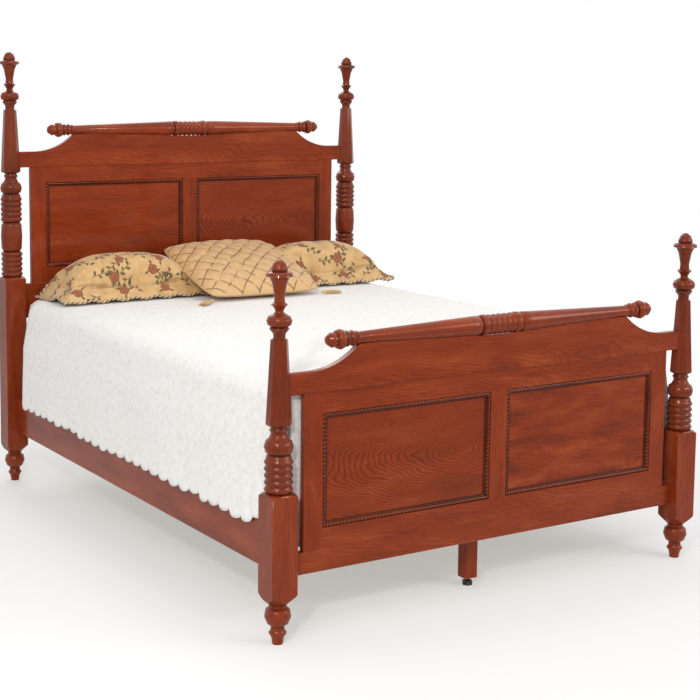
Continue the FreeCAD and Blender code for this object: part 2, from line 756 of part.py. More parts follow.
def roll_reach():
    """Where the roll's taper ends and its end rings start, from its middle."""
    return (S.rollRingPitch * S.rollRingCount / 2 + S.rollCollarWidth + S.rollGap
            + S.rollMiddleRound + S.rollTaperLength)


def roll_half():
    """Half the roll's length: its reach and what is turned beyond it."""
    return (roll_reach() + S.rollStepWidth + S.rollRingWidth * 2 + S.rollDiscWidth
            + S.rollTipLength + S.rollTipEnd)


def make_blanket_roll(label, y, z):
    """Turned roll that crowns a board; its outline is half of it, repeated from the other end."""
    body = new_body(label, 0.0, y, z + S.rollHeight)
    turning = Turning(S.rollTipRadius)
    turning.points.pop()
    turning.to(S.rollTipEnd, S.rollTipRadius)
    turn_roll_end(turning)
    turning.to(S.rollTaperLength, S.rollMiddleRadius)
    turning.to(S.rollMiddleRound, S.rollGapRadius)
    turning.straight(S.rollGap)
    turning.step(S.rollRingRoot)
    turning.bead(S.rollCollarWidth, S.rollCollarBulge, BAND)
    half = list(turning.points)
    for _ in range(int(S.rollRingCount.value)):
        turning.bead(S.rollRingPitch, S.rollRingBulge)
    whole = turning.points + [(radius, roll_half() * 2 - along) for radius, along in reversed(half[:-1])]
    outline = [(along - roll_half(), radius) for radius, along in reversed(whole)]
    revolve(body, "Roll", draw(new_sketch(body, "RollOutline", "XZ_Plane"), outline), "H_Axis")


def make_top_rail(label, y, z, is_head):
    """Scooped rail on the panelled frame; the roll lies in a cove along its top."""
    body = new_body(label, 0.0, y, z)
    reach = roll_reach()
    half = S.postSpacingX / 2
    low = half - shaft_flat(z, is_head) - S.fitGap
    high = half - shaft_flat(z + S.topRailEnd, is_head) - S.fitGap
    sketch = draw(new_sketch(body, "RailOutline", "XZ_Plane"), [
        (-low, 0.0),
        (low, 0.0),
        (high, S.topRailEnd),
        (S.scoopOuter, S.topRailEnd),
        (reach, S.topRailRise, -S.scoopHollow),
        (-reach, S.topRailRise),
        (-S.scoopOuter, S.topRailEnd, -S.scoopHollow),
        (-high, S.topRailEnd),
    ])
    rail = pad(body, "Rail", sketch, S.railThickness)
    ease_edges(body, "RailEase", rail, S.railEase, lambda edge: is_rail_edge(edge, reach))
    tip = half - S.shaftTenonInset
    sketch = draw_box(new_sketch(body, "TenonOutline", "XZ_Plane"), -tip, tip,
                      S.tenonShoulder, S.topRailEnd - S.tenonShoulder)
    pad(body, "Tenon", sketch, S.tenonThickness)
    cut_tongue_groove(body, 0.0)
    inner = reach - S.rollTaperLength
    sketch = new_sketch(body, "CoveOutline", "XZ_Plane", 0.0, S.rollHeight)
    middle = S.rollRingRoot + S.rollCollarBulge + S.rollSeatGap
    draw(sketch, [
        (-reach - S.rollSeatGap, 0.0),
        (reach + S.rollSeatGap, 0.0),
        (reach + S.rollSeatGap, S.rollNeckRadius + S.rollSeatGap),
        (inner, S.rollMiddleRadius + S.rollSeatGap),
        (inner, middle),
        (-inner, middle),
        (-inner, S.rollMiddleRadius + S.rollSeatGap),
        (-reach - S.rollSeatGap, S.rollNeckRadius + S.rollSeatGap),
    ])
    turn_away(body, "Cove", sketch, "H_Axis")


def is_rail_edge(edge, reach):
    """Long edges of a top rail's two faces: its underside, flat ends and scoops."""
    middle = edge.CenterOfMass
    flat = abs(abs(middle.y) - S.railThickness.value / 2) < 1e-6
    ends = middle.z > 1e-6 and abs(middle.x) > S.scoopOuter.value and not runs_along(edge, X_AXIS)
    top = abs(middle.x) < reach.value - 1 and middle.z > S.topRailEnd.value
    return flat and not ends and not top


def cut_tongue_groove(body, z):
    """Groove along a rail for the panelled frame's tongue, over or under its edge at z."""
    half = S.frameWidth / 2 + S.mortiseSpare
    room = S.tongueHeight + S.mortiseSpare
    sketch = draw_box(new_sketch(body, "GrooveOutline", "XZ_Plane"), -half, half, z - room, z + room)
    pocket(body, "TongueGroove", sketch, S.tongueThickness + S.fitGap * 2)


def make_lower_rail(label, y, is_head):
    low, depth = lower_rail(is_head)
    body = new_body(label, 0.0, y, low)
    half = (S.postSpacingX - S.blockSide) / 2
    sketch = draw_box(new_sketch(body, "RailOutline", "XZ_Plane"), -half, half, 0.0, depth)
    rail = pad(body, "Rail", sketch, S.railThickness)
    ease_edges(body, "RailEase", rail, S.railEase, lambda edge: runs_along(edge, X_AXIS))
    tip = S.postSpacingX / 2 - S.blockTenonInset
    sketch = draw_box(new_sketch(body, "TenonOutline", "XZ_Plane"), -tip, tip,
                      S.tenonShoulder, depth - S.tenonShoulder)
    pad(body, "Tenon", sketch, S.tenonThickness)
    cut_tongue_groove(body, depth)


def panel_plane():
    """Middle of the panels' thickness, from the middle of the frame's."""
    return S.panelSetback + S.panelThickness / 2 - S.frameThickness / 2


def groove_width():
    return S.panelThickness + S.fitGap * 2


def make_stile(label, y, z, side):
    """Outer stile of a panelled frame, on the left for side -1 and on the right for side 1."""
    body = new_body(label, 0.0, y, z)
    outer = S.frameWidth / 2
    inner = outer - S.stileWidth
    sketch = draw_box(new_sketch(body, "StileOutline", "XZ_Plane"),
                      *ordered(side, inner, outer), 0.0, S.frameHeight)
    pad(body, "Stile", sketch, S.frameThickness)
    sketch = draw_box(new_sketch(body, "TongueOutline", "XZ_Plane"), *ordered(side, inner, outer),
                      -S.tongueHeight, S.frameHeight + S.tongueHeight)
    pad(body, "Tongue", sketch, S.tongueThickness)
    sketch = draw_box(new_sketch(body, "GrooveOutline", "XZ_Plane", panel_plane()),
                      *ordered(side, inner - S.grooveDepth, inner + S.grooveDepth),
                      -S.tongueHeight * 2, S.frameHeight + S.tongueHeight * 2)
    pocket(body, "PanelGroove", sketch, groove_width())


def make_frame_rail(label, y, z, is_top):
    """Rail of a panelled frame between its stiles, with stub tenons in their grooves."""
    body = new_body(label, 0.0, y, z)
    half = S.frameWidth / 2 - S.stileWidth
    low, high = (S.frameHeight - S.frameRailWidth, S.frameHeight) if is_top else (0.0, S.frameRailWidth)
    edge = low if is_top else high
    sketch = draw_box(new_sketch(body, "RailOutline", "XZ_Plane"), -half, half, low, high)
    pad(body, "Rail", sketch, S.frameThickness)
    outside = S.frameHeight + S.tongueHeight if is_top else -S.tongueHeight
    span = (S.frameHeight - S.frameRailWidth / 2, outside) if is_top else (outside, S.frameRailWidth / 2)
    sketch = draw_box(new_sketch(body, "TongueOutline", "XZ_Plane"), -half, half, *span)
    pad(body, "Tongue", sketch, S.tongueThickness)
    sketch = draw_box(new_sketch(body, "GrooveOutline", "XZ_Plane", panel_plane()),
                      -half - S.grooveDepth, half + S.grooveDepth,
                      edge - S.grooveDepth, edge + S.grooveDepth)
    pocket(body, "PanelGroove", sketch, groove_width())
    reach = half + S.grooveDepth - S.fitGap
    inner = (S.frameHeight - S.frameRailWidth + S.grooveDepth + S.fitGap, S.frameHeight) if is_top \
        else (0.0, S.frameRailWidth - S.grooveDepth - S.fitGap)
    sketch = draw_box(new_sketch(body, "TenonOutline", "XZ_Plane", panel_plane()), -reach, reach, *inner)
    pad(body, "StubTenon", sketch, S.panelThickness)


def make_muntin(label, y, z):
    """Middle stile between the frame rails, with stub tenons in their grooves."""
    body = new_body(label, 0.0, y, z)
    half = S.muntinWidth / 2
    low, high = S.frameRailWidth, S.frameHeight - S.frameRailWidth
    sketch = draw_box(new_sketch(body, "MuntinOutline", "XZ_Plane"), -half, half, low, high)
    pad(body, "Muntin", sketch, S.frameThickness)
    sketch = new_sketch(body, "GrooveOutline", "XZ_Plane", panel_plane())
    for side in (-1, 1):
        draw_box(sketch, *ordered(side, half - S.grooveDepth, half + S.grooveDepth),
                 low - S.panelPlay, high + S.panelPlay)
    pocket(body, "PanelGrooves", sketch, groove_width())
    tip = S.grooveDepth - S.fitGap
    inner = half - S.grooveDepth - S.fitGap
    sketch = draw_box(new_sketch(body, "TenonOutline", "XZ_Plane", panel_plane()),
                      -inner, inner, low - tip, high + tip)
    pad(body, "StubTenon", sketch, S.panelThickness)


def make_panel(label, y, z, side):
    body = new_body(label, 0.0, y, z)
    spare = S.grooveDepth - S.panelPlay
    inner = S.muntinWidth / 2 - spare
    outer = S.muntinWidth / 2 + opening_width() + spare
    sketch = draw_box(new_sketch(body, "PanelOutline", "XZ_Plane", panel_plane()),
                      *ordered(side, inner, outer),
                      S.frameRailWidth - spare, S.frameHeight - S.frameRailWidth + spare)
    pad(body, "Panel", sketch, S.panelThickness)


def make_rope_moulding(label, y, z, side):
    """Mitred moulding round a panel: a round rope bead outside and a lower lip inside."""
    half_x = opening_width() / 2
    half_z = S.frameHeight / 2 - S.frameRailWidth
    body = new_body(label, (S.muntinWidth / 2 + half_x) * side, y, z + S.frameHeight / 2)
    face = -S.frameThickness / 2
    back = face + S.panelSetback - S.fitGap
    bead = S.ropeRadius
    start = S.ropeInset - half_z
    section = draw(new_sketch(body, "SectionOutline", "YZ_Plane"), [
        (back, start),
        (back, S.mouldingWidth - half_z),
        (face + S.lipSetback, S.mouldingWidth - half_z),
        (face + S.lipSetback, S.mouldingWidth - S.lipWidth - half_z),
        (face + bead, start + bead * 2),
        (face + bead, start, bead * NEARLY_HALF_ROUND),
    ])
    path = new_sketch(body, "Way", "XZ_Plane")
    corners = [(half_x, -half_z), (half_x, half_z), (-half_x, half_z), (-half_x, -half_z)]
    draw(path, [(0.0, -half_z)] + corners)
    pipe = body.newObject("PartDesign::AdditivePipe", "Moulding")
    pipe.Profile = section
    pipe.Spine = path
    pipe.Transition = "Right corner"


# ---- side rails, slats and fittings --------------------------------------------------------

def rail_end():
    """Where the side rails end, from the bed's middle: on the faces of the posts' blocks."""
    return (S.postSpacingY - S.blockSide) / 2


def rail_inside():
    return S.postSpacingX / 2 + S.sideRailOutset - S.sideRailThickness


def fitting_x():
    """Middle of the hooked fittings' width, from the middle of the bed."""
    return rail_inside() + S.sideRailThickness / 2


def make_side_rail(label, side):
    """Side rail between two blocks, with a seat for a hook plate in each end."""
    body = new_body(label, 0.0, 0.0, S.sideRailBottom)
    inner = rail_inside()
    end = rail_end()
    sketch = draw_box(new_sketch(body, "RailOutline", "YZ_Plane", fitting_x() * side),
                      -end, end, 0.0, S.sideRailDepth)
    rail = pad(body, "Rail", sketch, S.sideRailThickness)
    ease_edges(body, "RailEase", rail, S.railEase, lambda edge: runs_along(edge, Y_AXIS))
    half = S.plateWidth / 2 + S.fitGap
    middle = S.sideRailDepth / 2
    tall = S.plateHeight / 2 + S.fitGap
    sketch = draw_box(new_sketch(body, "SeatOutline", "XZ_Plane", end), *ordered(
        side, inner + S.sideRailThickness / 2 - half, inner + S.sideRailThickness / 2 + half),
                      middle - tall, middle + tall)
    pocket(body, "HeadSeat", sketch, S.plateThickness * 2 + S.fitGap * 2)
    sketch = draw_box(new_sketch(body, "OtherSeatOutline", "XZ_Plane", -end), *ordered(
        side, inner + S.sideRailThickness / 2 - half, inner + S.sideRailThickness / 2 + half),
                      middle - tall, middle + tall)
    pocket(body, "FootSeat", sketch, S.plateThickness * 2 + S.fitGap * 2)


def make_cleat(label, side):
    """Strip along a side rail that carries the slats."""
    inner = rail_inside()
    body = new_body(label, (inner - S.cleatWidth / 2) * side, 0.0, S.sideRailBottom + S.cleatRise)
    half = S.postSpacingY / 2 - S.blockSide
    sketch = draw_box(new_sketch(body, "CleatOutline", "YZ_Plane"), -half, half, 0.0, S.cleatDepth)
    pad(body, "Cleat", sketch, S.cleatWidth)


def slat_bottom():
    return S.sideRailBottom + S.cleatRise + S.cleatDepth


def slat_place(number):
    """A slat's distance from the middle of the bed, counted from the foot."""
    return S.slatPitch * (number - (S.slatCount.value + 1) / 2)


def make_slat(label, number):
    body = new_body(label, 0.0, slat_place(number), slat_bottom())
    half = rail_inside() - S.slatEndGap
    sketch = draw_box(new_sketch(body, "SlatOutline", "XY_Plane"),
                      -half, half, -S.slatWidth / 2, S.slatWidth / 2)
    pad_up(body, "Slat", sketch, S.slatThickness)


def leg_bottom():
    """Underside of a centre leg: its foot can screw up as far as its travel."""
    return S.levellerHeight + S.levellerTravel + S.fitGap


def make_support_leg(label, number):
    """Square leg under the middle of a slat, bored for the stem of its foot."""
    body = new_body(label, 0.0, slat_place(number), 0.0)
    half = S.legSide / 2
    square = draw_box(new_sketch(body, "LegSquare", "XY_Plane", leg_bottom()), -half, half, -half, half)
    pad_up(body, "Leg", square, slat_bottom() - leg_bottom())
    room = S.stemRadius + S.fitGap
    deep = S.levellerHeight + S.stemLength + S.levellerTravel + S.mortiseSpare
    bore = draw_box(new_sketch(body, "BoreOutline", "XZ_Plane"), 0.0, room, 0.0, deep)
    turn_away(body, "Bore", bore)


def make_leveller(label, number):
    """Six-sided foot of a centre leg on its round stem."""
    body = new_body(label, 0.0, slat_place(number), 0.0)
    corners = [(S.levellerRadius * math.cos(math.radians(60 * i)),
                S.levellerRadius * math.sin(math.radians(60 * i))) for i in range(6)]
    pad_up(body, "Foot", draw(new_sketch(body, "FootOutline", "XY_Plane"), corners), S.levellerHeight)
    stem = draw_circle(new_sketch(body, "StemOutline", "XY_Plane"), 0.0, 0.0, S.stemRadius)
    pad_up(body, "Stem", stem, S.levellerHeight + S.stemLength)


def mirror_four(body, features):
    """Repeat the fitting at +X and the head at the bed's other three corners."""
    planes = {item.Role: item for item in body.Origin.OriginFeatures}
    corners = body.newObject("PartDesign::MultiTransform", "FourCorners")
    corners.Originals = features
    mirrors = []
    for name, plane in (("AtTheFoot", "XZ_Plane"), ("OnTheLeft", "YZ_Plane")):
        mirror = body.newObject("PartDesign::Mirrored", name)
        mirror.MirrorPlane = (planes[plane], [""])
        mirrors.append(mirror)
    corners.Transformations = mirrors
    body.Tip = corners


def make_hook_plates(label):
    """Plates in the side rails' ends, each with two hooks that drop behind the catch plates."""
    body = new_body(label)
    end = rail_end()
    middle = plate_middle()
    sketch = draw_box(new_sketch(body, "PlateOutline", "YZ_Plane", fitting_x()),
                      end - S.plateThickness, end,
                      middle - S.plateHeight / 2, middle + S.plateHeight / 2)
    plate = pad(body, "Plate", sketch, S.plateWidth)
    sketch = new_sketch(body, "HookOutline", "YZ_Plane", fitting_x())
    inside = end + S.plateThickness + S.fitGap
    for low in hook_heights():
        draw(sketch, [
            (end - S.plateThickness / 2, low),
            (inside, low),
            (inside, low - S.hookDrop),
            (end + S.hookReach - S.hookNose, low - S.hookDrop),
            (end + S.hookReach, low - S.hookDrop + S.hookNose),
            (end + S.hookReach, low + S.hookHeight - S.hookDrop),
            (end + S.hookReach - S.hookNose, low + S.hookHeight),
            (end - S.plateThickness / 2, low + S.hookHeight),
        ])
    hooks = pad(body, "Hooks", sketch, S.hookThickness)
    return body, [plate, hooks]


def make_catch_plates(label):
    """Slotted plates in the posts' blocks that the hooks drop behind."""
    body = new_body(label)
    end = rail_end()
    middle = plate_middle()
    sketch = draw_box(new_sketch(body, "PlateOutline", "YZ_Plane", fitting_x()),
                      end, end + S.plateThickness,
                      middle - S.plateHeight / 2, middle + S.plateHeight / 2)
    plate = pad(body, "Plate", sketch, S.plateWidth)
    sketch = new_sketch(body, "SlotOutline", "YZ_Plane", fitting_x())
    for low in hook_heights():
        draw_box(sketch, end - S.plateThickness, end + S.plateThickness * 2,
                 low - S.fitGap, low + S.hookHeight + S.hookDrop + S.fitGap)
    slots = pocket(body, "Slots", sketch, S.hookThickness + S.fitGap * 2)
    return body, [plate, slots]


# ---- bedding -------------------------------------------------------------------------------

def rounded_box(body, name, half_x, half_y, low, high, corner):
    """Box with round upright corners."""
    swell = corner * QUARTER_SWELL
    sketch = draw(new_sketch(body, name + "Outline", "XY_Plane", low), [
        (half_x, corner - half_y, swell),
        (half_x, half_y - corner),
        (half_x - corner, half_y, swell),
        (corner - half_x, half_y),
        (-half_x, half_y - corner, swell),
        (-half_x, corner - half_y),
        (corner - half_x, -half_y, swell),
        (half_x - corner, -half_y),
    ])
    return pad_up(body, name, sketch, high - low)


def foundation_bottom():
    return slat_bottom() + S.slatThickness + S.fitGap


def mattress_bottom():
    return foundation_bottom() + S.foundationHeight + S.fitGap


def mattress_top():
    return mattress_bottom() + S.mattressHeight


def coverlet_top():
    return mattress_top() + S.clothGap + S.coverletThickness


def make_box_spring(label):
    body = new_body(label)
    rounded_box(body, "Foundation", S.mattressWidth / 2, S.mattressLength / 2,
                foundation_bottom(), foundation_bottom() + S.foundationHeight, S.mattressCorner)


def make_mattress(label):
    body = new_body(label)
    box = rounded_box(body, "Mattress", S.mattressWidth / 2, S.mattressLength / 2,
                      mattress_bottom(), mattress_top(), S.mattressCorner)
    middle = mattress_bottom().value + S.mattressHeight.value / 2
    ease_edges(body, "TopEase", box, S.mattressEdge,
                lambda edge: edge.BoundBox.ZLength < 1e-6 and edge.CenterOfMass.z > middle)


def make_cover_form(label, grow, low, head, kept):
    """Solid under the coverlet, grown outwards; the foot end rounds over like the sides."""
    body = new_body(label, kept=kept)
    side = S.mattressWidth / 2 + S.clothGap + grow
    hem = S.postSpacingX / 2 + S.sideRailOutset + S.coverletFlare - S.coverletThickness + grow
    top = mattress_top() + S.clothGap + grow
    round_over = S.coverletRound - S.coverletThickness + grow
    high = side + S.coverletTopSpread
    wide = side + S.coverletSpread
    turn = top - S.coverletSpreadDrop
    foot = S.mattressLength / -2 - S.clothGap - grow
    profile = draw(new_sketch(body, "AcrossOutline", "XZ_Plane", (foot + head) / 2), [
        (-hem, low),
        (hem, low),
        (wide, turn),
        (high, top - round_over),
        (high - round_over, top, round_over * QUARTER_SWELL),
        (round_over - high, top),
        (-high, top - round_over, round_over * QUARTER_SWELL),
        (-wide, turn),
    ])
    pad(body, "Across", profile, head - foot)
    bend = S.footRound - S.coverletThickness + grow
    over = draw(new_sketch(body, "FootRoundOutline", "YZ_Plane"), [
        (foot, top - bend, bend * QUARTER_SWELL),
        (foot - bend, top - bend),
        (foot - bend, top + bend),
        (foot + bend, top + bend),
        (foot + bend, top),
    ])
    pocket(body, "FootRound", over, S.postSpacingX * 2)
    return body


def make_coverlet(label):
    """Coverlet drawn over the mattress: scalloped side drops and a fall at the foot end."""
    head = S.mattressLength / 2 - S.coverletHeadEdge
    cusp = S.coverletHem + S.scallopDepth
    tool = make_cover_form("underCoverlet", 0.0, S.coverletHem - S.scallopDepth * 2,
                           head + S.scallopDepth, False)
    body = make_cover_form(label, S.coverletThickness, S.coverletHem - S.scallopDepth, head, True)
    hollow = body.newObject("PartDesign::Boolean", "Hollow")
    hollow.setObjects([tool])
    hollow.Type = "Cut"
    CUTS.append(hollow)
    edge = S.coverletFootEdge - rail_end()
    beyond = S.postSpacingY / -2
    corners = new_sketch(body, "CornerOutline", "XY_Plane", S.headBlockTop / 2)
    for side in (-1, 1):
        draw_box(corners, *ordered(side, S.footDropWidth / 2, S.postSpacingX), beyond, edge)
    pocket(body, "SplitCorners", corners, S.headBlockTop)
    fall = draw_box(new_sketch(body, "FootHemOutline", "XZ_Plane", (beyond + edge) / 2),
                    S.postSpacingX / -2, S.postSpacingX / 2, 0.0, S.footHem)
    pocket(body, "FootHem", fall, edge - beyond)
    count = int(S.scallopCount.value)
    pitch = (head - edge) / count
    arcs = [(edge, cusp)] + [(edge + pitch * (i + 1), cusp, S.scallopDepth) for i in range(count)]
    under = S.coverletHem - S.scallopDepth * 2
    scallops = draw(new_sketch(body, "ScallopOutline", "YZ_Plane"), arcs + [(head, under), (edge, under)])
    pocket(body, "Scallops", scallops, S.postSpacingX * 2)


def cushion_outline(body, name, height, half_x, half_y, middle_y):
    """Closed outline with cut corners and drawn-in sides at a height over the seam."""
    straight_x = half_x - S.cornerRound
    straight_y = half_y - S.cornerRound
    quarter = [
        (half_x - straight_y * S.drawnIn, 0.0),
        (half_x, straight_y),
        (straight_x, half_y),
        (0.0, half_y - straight_x * S.drawnIn),
    ]
    upper = quarter + [(x * -1, y) for x, y in reversed(quarter[:-1])]
    lower = [(x, y * -1) for x, y in reversed(upper[1:-1])]
    return draw(new_sketch(body, name, "XY_Plane", height, middle_y), upper + lower)


def make_cushion(label, x, front, height, half_x, half_y, seam_y, crown, belly, tilt, kept=True):
    """Stuffed form that leans back: sections round its edge follow its crown and its belly."""
    body = new_body(label, x, front, height, kept)
    leaning = FreeCAD.Rotation(X_AXIS, value_of(tilt))
    body.Placement = FreeCAD.Placement(body.Placement.Base, leaning)
    body.setExpression(".Placement.Rotation.Angle", formula_of(tilt))
    shorter = half_x if half_x.value < half_y.value else half_y
    sections = []
    for i, degrees in enumerate(CROWN_ANGLES):
        angle = math.radians(degrees)
        full = math.sin(angle) ** CROWN_POWER
        drop = shorter * (1 - full)
        tall = (belly if degrees < 90 else crown) * -math.cos(angle)
        sections.append(cushion_outline(body, "Section%d" % (i + 1), tall,
                                        half_x - drop, half_y - drop, seam_y))
    loft = body.newObject("PartDesign::AdditiveLoft", "Stuffing")
    loft.Profile = sections[0]
    loft.Sections = sections[1:]
    loft.Ruled = True
    return body


def make_sham(label, x, press=0.0, kept=True):
    """Pillow in a sham with a flat flange round its seam."""
    seam = S.shamDepth / 2
    body = make_cushion(label, x, S.shamFront, coverlet_top() + S.shamLift,
                        S.shamWidth / 2 - S.shamFlange + press, seam - S.shamFlange + press, seam,
                        S.shamRise + press, S.shamBelly + press, S.shamTilt, kept)
    flange = cushion_outline(body, "FlangeOutline", (S.flangeThickness / 2 + press) * -1,
                             S.shamWidth / 2 + press, seam + press, seam)
    pad_up(body, "Flange", flange, S.flangeThickness + press * 2)
    return body


def make_accent_cushion(label):
    """Square cushion pressed on the shams: what they take up is cut away under it."""
    half = S.cushionDepth / 2
    form = make_cushion("cushionForm", S.cushionShift, S.cushionFront, coverlet_top() + S.cushionLift,
                        S.cushionWidth / 2, half, half, S.cushionCrown, S.cushionCrown,
                        S.cushionTilt, False)
    for name, x in (("overLeftSham", S.leftShamShift), (label, S.rightShamShift)):
        pressed = doc.addObject("Part::Cut", name)
        pressed.Label = name
        pressed.Base = form
        pressed.Tool = make_sham(name + "Clearance", x, S.cushionPress, False)
        form = pressed
    PARTS.append(form)


def make_tassels(label):
    """Two tassels on short cords at the cushion's front corners, lying on the coverlet."""
    body = new_body(label, 0.0, S.cushionFront, coverlet_top() + S.tasselRadius + S.fitGap)
    turning = Turning(S.tasselCordRadius)
    turning.straight(-S.tasselCord)
    turning.step(S.tasselCapRadius)
    turning.straight(-S.tasselCap)
    turning.to(-S.tasselLength, S.tasselRadius)
    turning.step(0.0)
    for name, side, turn in (("Left", -1, S.leftTasselTurn), ("Right", 1, S.rightTasselTurn)):
        sketch = draw(new_sketch(body, name + "TasselOutline", "XY_Plane"), turning.points)
        shift_sketch(sketch, S.cushionShift + (S.cushionWidth / 2 - S.tasselRadius) * side, turn)
        revolve(body, name + "Tassel", sketch)


# ---- the bed -------------------------------------------------------------------------------

SIDES = (("left", -1), ("right", 1))

for end, along in (("foot", -1), ("head", 1)):
    is_head = along > 0
    line = S.postSpacingY / 2 * along
    frame_z, top_z = rail_heights(is_head)
    make_lower_rail(end + "_lower_rail", line, is_head)
    make_top_rail(end + "_top_rail", line, top_z, is_head)
    make_blanket_roll(end + "_blanket_roll", line, top_z)
    make_frame_rail(end + "_frame_rail_top", line, frame_z, True)
    make_frame_rail(end + "_frame_rail_bottom", line, frame_z, False)
    make_muntin(end + "_muntin", line, frame_z)
    for name, side in SIDES:
        make_post(end + "_post_" + name, side, along)
        make_stile(end + "_stile_" + name, line, frame_z, side)
        make_panel(end + "_panel_" + name, line, frame_z, side)
        make_rope_moulding(end + "_rope_moulding_" + name, line, frame_z, side)

for name, side in SIDES:
    make_side_rail("side_rail_" + name, side)
    make_cleat("cleat_" + name, side)
for number in range(1, int(S.slatCount.value) + 1):
    make_slat("slat_%d" % number, number)
for count, number in enumerate((1, 3, 5), start=1):
    make_support_leg("support_leg_%d" % count, number)
    make_leveller("leveller_%d" % count, number)
mirror_four(*make_hook_plates("rail_hook_plates"))
mirror_four(*make_catch_plates("post_catch_plates"))

make_box_spring("box_spring")
make_mattress("mattress")
make_coverlet("coverlet")
make_sham("pillow_sham_left", S.leftShamShift)
make_sham("pillow_sham_right", S.rightShamShift)
make_accent_cushion("accent_cushion")
make_tassels("cushion_tassels")
doc.recompute()

for item in doc.Objects:
    if "Invalid" in item.State or "Error" in item.State:
        raise RuntimeError("%s did not build: %s" % (item.Label, item.State))
for cut in CUTS:
    if not cut.Shape.Volume < cut.BaseFeature.Shape.Volume:
        raise RuntimeError("%s cuts nothing" % cut.Label)
os.makedirs("parts", exist_ok=True)
for body in PARTS:
    if body.Shape.isNull() or not body.Shape.isValid():
        raise RuntimeError("%s has no valid solid" % body.Label)
    body.Shape.exportStep("parts/%s.step" % body.Label)
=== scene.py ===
import math

import bpy
import numpy as np
from mathutils import Matrix, Vector


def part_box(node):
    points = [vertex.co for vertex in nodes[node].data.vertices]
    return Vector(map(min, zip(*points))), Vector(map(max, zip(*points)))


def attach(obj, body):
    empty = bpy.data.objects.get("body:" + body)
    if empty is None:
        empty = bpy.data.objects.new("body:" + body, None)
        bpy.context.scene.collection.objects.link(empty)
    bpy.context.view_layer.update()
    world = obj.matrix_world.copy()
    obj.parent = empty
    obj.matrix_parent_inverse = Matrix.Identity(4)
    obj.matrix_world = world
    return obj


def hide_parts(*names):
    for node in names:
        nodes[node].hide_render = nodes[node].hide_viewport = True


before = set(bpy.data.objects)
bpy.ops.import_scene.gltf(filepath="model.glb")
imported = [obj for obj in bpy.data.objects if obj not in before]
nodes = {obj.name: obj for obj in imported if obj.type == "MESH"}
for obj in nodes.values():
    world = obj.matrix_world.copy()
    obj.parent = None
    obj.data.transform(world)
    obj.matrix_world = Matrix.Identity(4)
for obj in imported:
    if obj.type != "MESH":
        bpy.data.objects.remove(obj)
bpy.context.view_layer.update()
print("frame loaded,", len(nodes), "nodes")


def toLinear(colour):
    channels = [int(colour[i:i + 2], 16) / 255 for i in (1, 3, 5)]
    return [c / 12.92 if c <= 0.04045 else ((c + 0.055) / 1.055) ** 2.4 for c in channels] + [1.0]


def addNode(tree, kind, inputs=None, ramp=None, **settings):
    node = tree.nodes.new(kind)
    for name, value in settings.items():
        setattr(node, name, value)
    for name, value in (inputs or {}).items():
        if isinstance(value, bpy.types.NodeSocket):
            tree.links.new(value, node.inputs[name])
        else:
            isColour = isinstance(value, str) and value.startswith("#")
            node.inputs[name].default_value = toLinear(value) if isColour else value
    if ramp:
        stops = node.color_ramp.elements
        while len(stops) < len(ramp):
            stops.new(1.0)
        for stop, (place, colour) in zip(stops, ramp):
            stop.position = place
            stop.color = toLinear(colour)
    return node


def maths(tree, operation, *values, clamp=False):
    settings = {"operation": operation, "use_clamp": clamp}
    return addNode(tree, "ShaderNodeMath", dict(enumerate(values)), **settings).outputs[0]


def vectorMaths(tree, operation, *values):
    return addNode(tree, "ShaderNodeVectorMath", dict(enumerate(values)), operation=operation).outputs[0]


def remap(tree, value, fromMin, fromMax, toMin, toMax, curve="LINEAR"):
    ranges = {"Value": value, "From Min": fromMin, "From Max": fromMax, "To Min": toMin, "To Max": toMax}
    return addNode(tree, "ShaderNodeMapRange", ranges, interpolation_type=curve).outputs[0]


def mixColours(tree, share, first, second):
    return addNode(tree, "ShaderNodeMix", {0: share, 6: first, 7: second}, data_type="RGBA").outputs[2]


def rampColour(tree, value, *ramp):
    return addNode(tree, "ShaderNodeValToRGB", {0: value}, ramp=ramp).outputs[0]


def noise(tree, place, scale, detail, roughness=0.5, distortion=0.0, output="Fac"):
    inputs = {"Vector": place, "Scale": scale, "Detail": detail, "Roughness": roughness}
    return addNode(tree, "ShaderNodeTexNoise", {**inputs, "Distortion": distortion}).outputs[output]


def objectPlace(tree):
    return addNode(tree, "ShaderNodeTexCoord").outputs["Object"]


def mapped(tree, place, **inputs):
    return addNode(tree, "ShaderNodeMapping", {"Vector": place, **inputs}).outputs[0]


def emptyTree(holder):
    holder.use_nodes = True
    holder.node_tree.nodes.clear()
    return holder.node_tree


def newMaterial(name, **shaderSettings):
    material = bpy.data.materials.new(name)
    tree = emptyTree(material)
    names = {key.replace("_", " "): value for key, value in shaderSettings.items()}
    shader = addNode(tree, "ShaderNodeBsdfPrincipled", names)
    addNode(tree, "ShaderNodeOutputMaterial", {"Surface": shader.outputs["BSDF"]})
    return material, tree, shader


def feed(tree, shader, colour, height=None, strength=0.3, distance=0.0006, invert=False, rough=None):
    # colour, relief and roughness go to the shader
    tree.links.new(colour, shader.inputs["Base Color"])
    if rough is not None:
        tree.links.new(rough, shader.inputs["Roughness"])
    if height is not None:
        inputs = {"Strength": strength, "Distance": distance, "Height": height}
        bump = addNode(tree, "ShaderNodeBump", inputs, invert=invert)
        tree.links.new(bump.outputs[0], shader.inputs["Normal"])


def addObject(name, data):
    holder = bpy.data.objects.new(name, data)
    bpy.context.scene.collection.objects.link(holder)
    return holder


def meshPiece(name, points, faces, *materials, slots=None):
    mesh = bpy.data.meshes.new(name)
    mesh.from_pydata([tuple(p) for p in points], [], [tuple(f) for f in faces])
    for material in materials:
        mesh.materials.append(material)
    mesh.polygons.foreach_set("use_smooth", [True] * len(mesh.polygons))
    if slots:
        mesh.polygons.foreach_set("material_index", slots)
    mesh.update()
    return addObject(name, mesh)


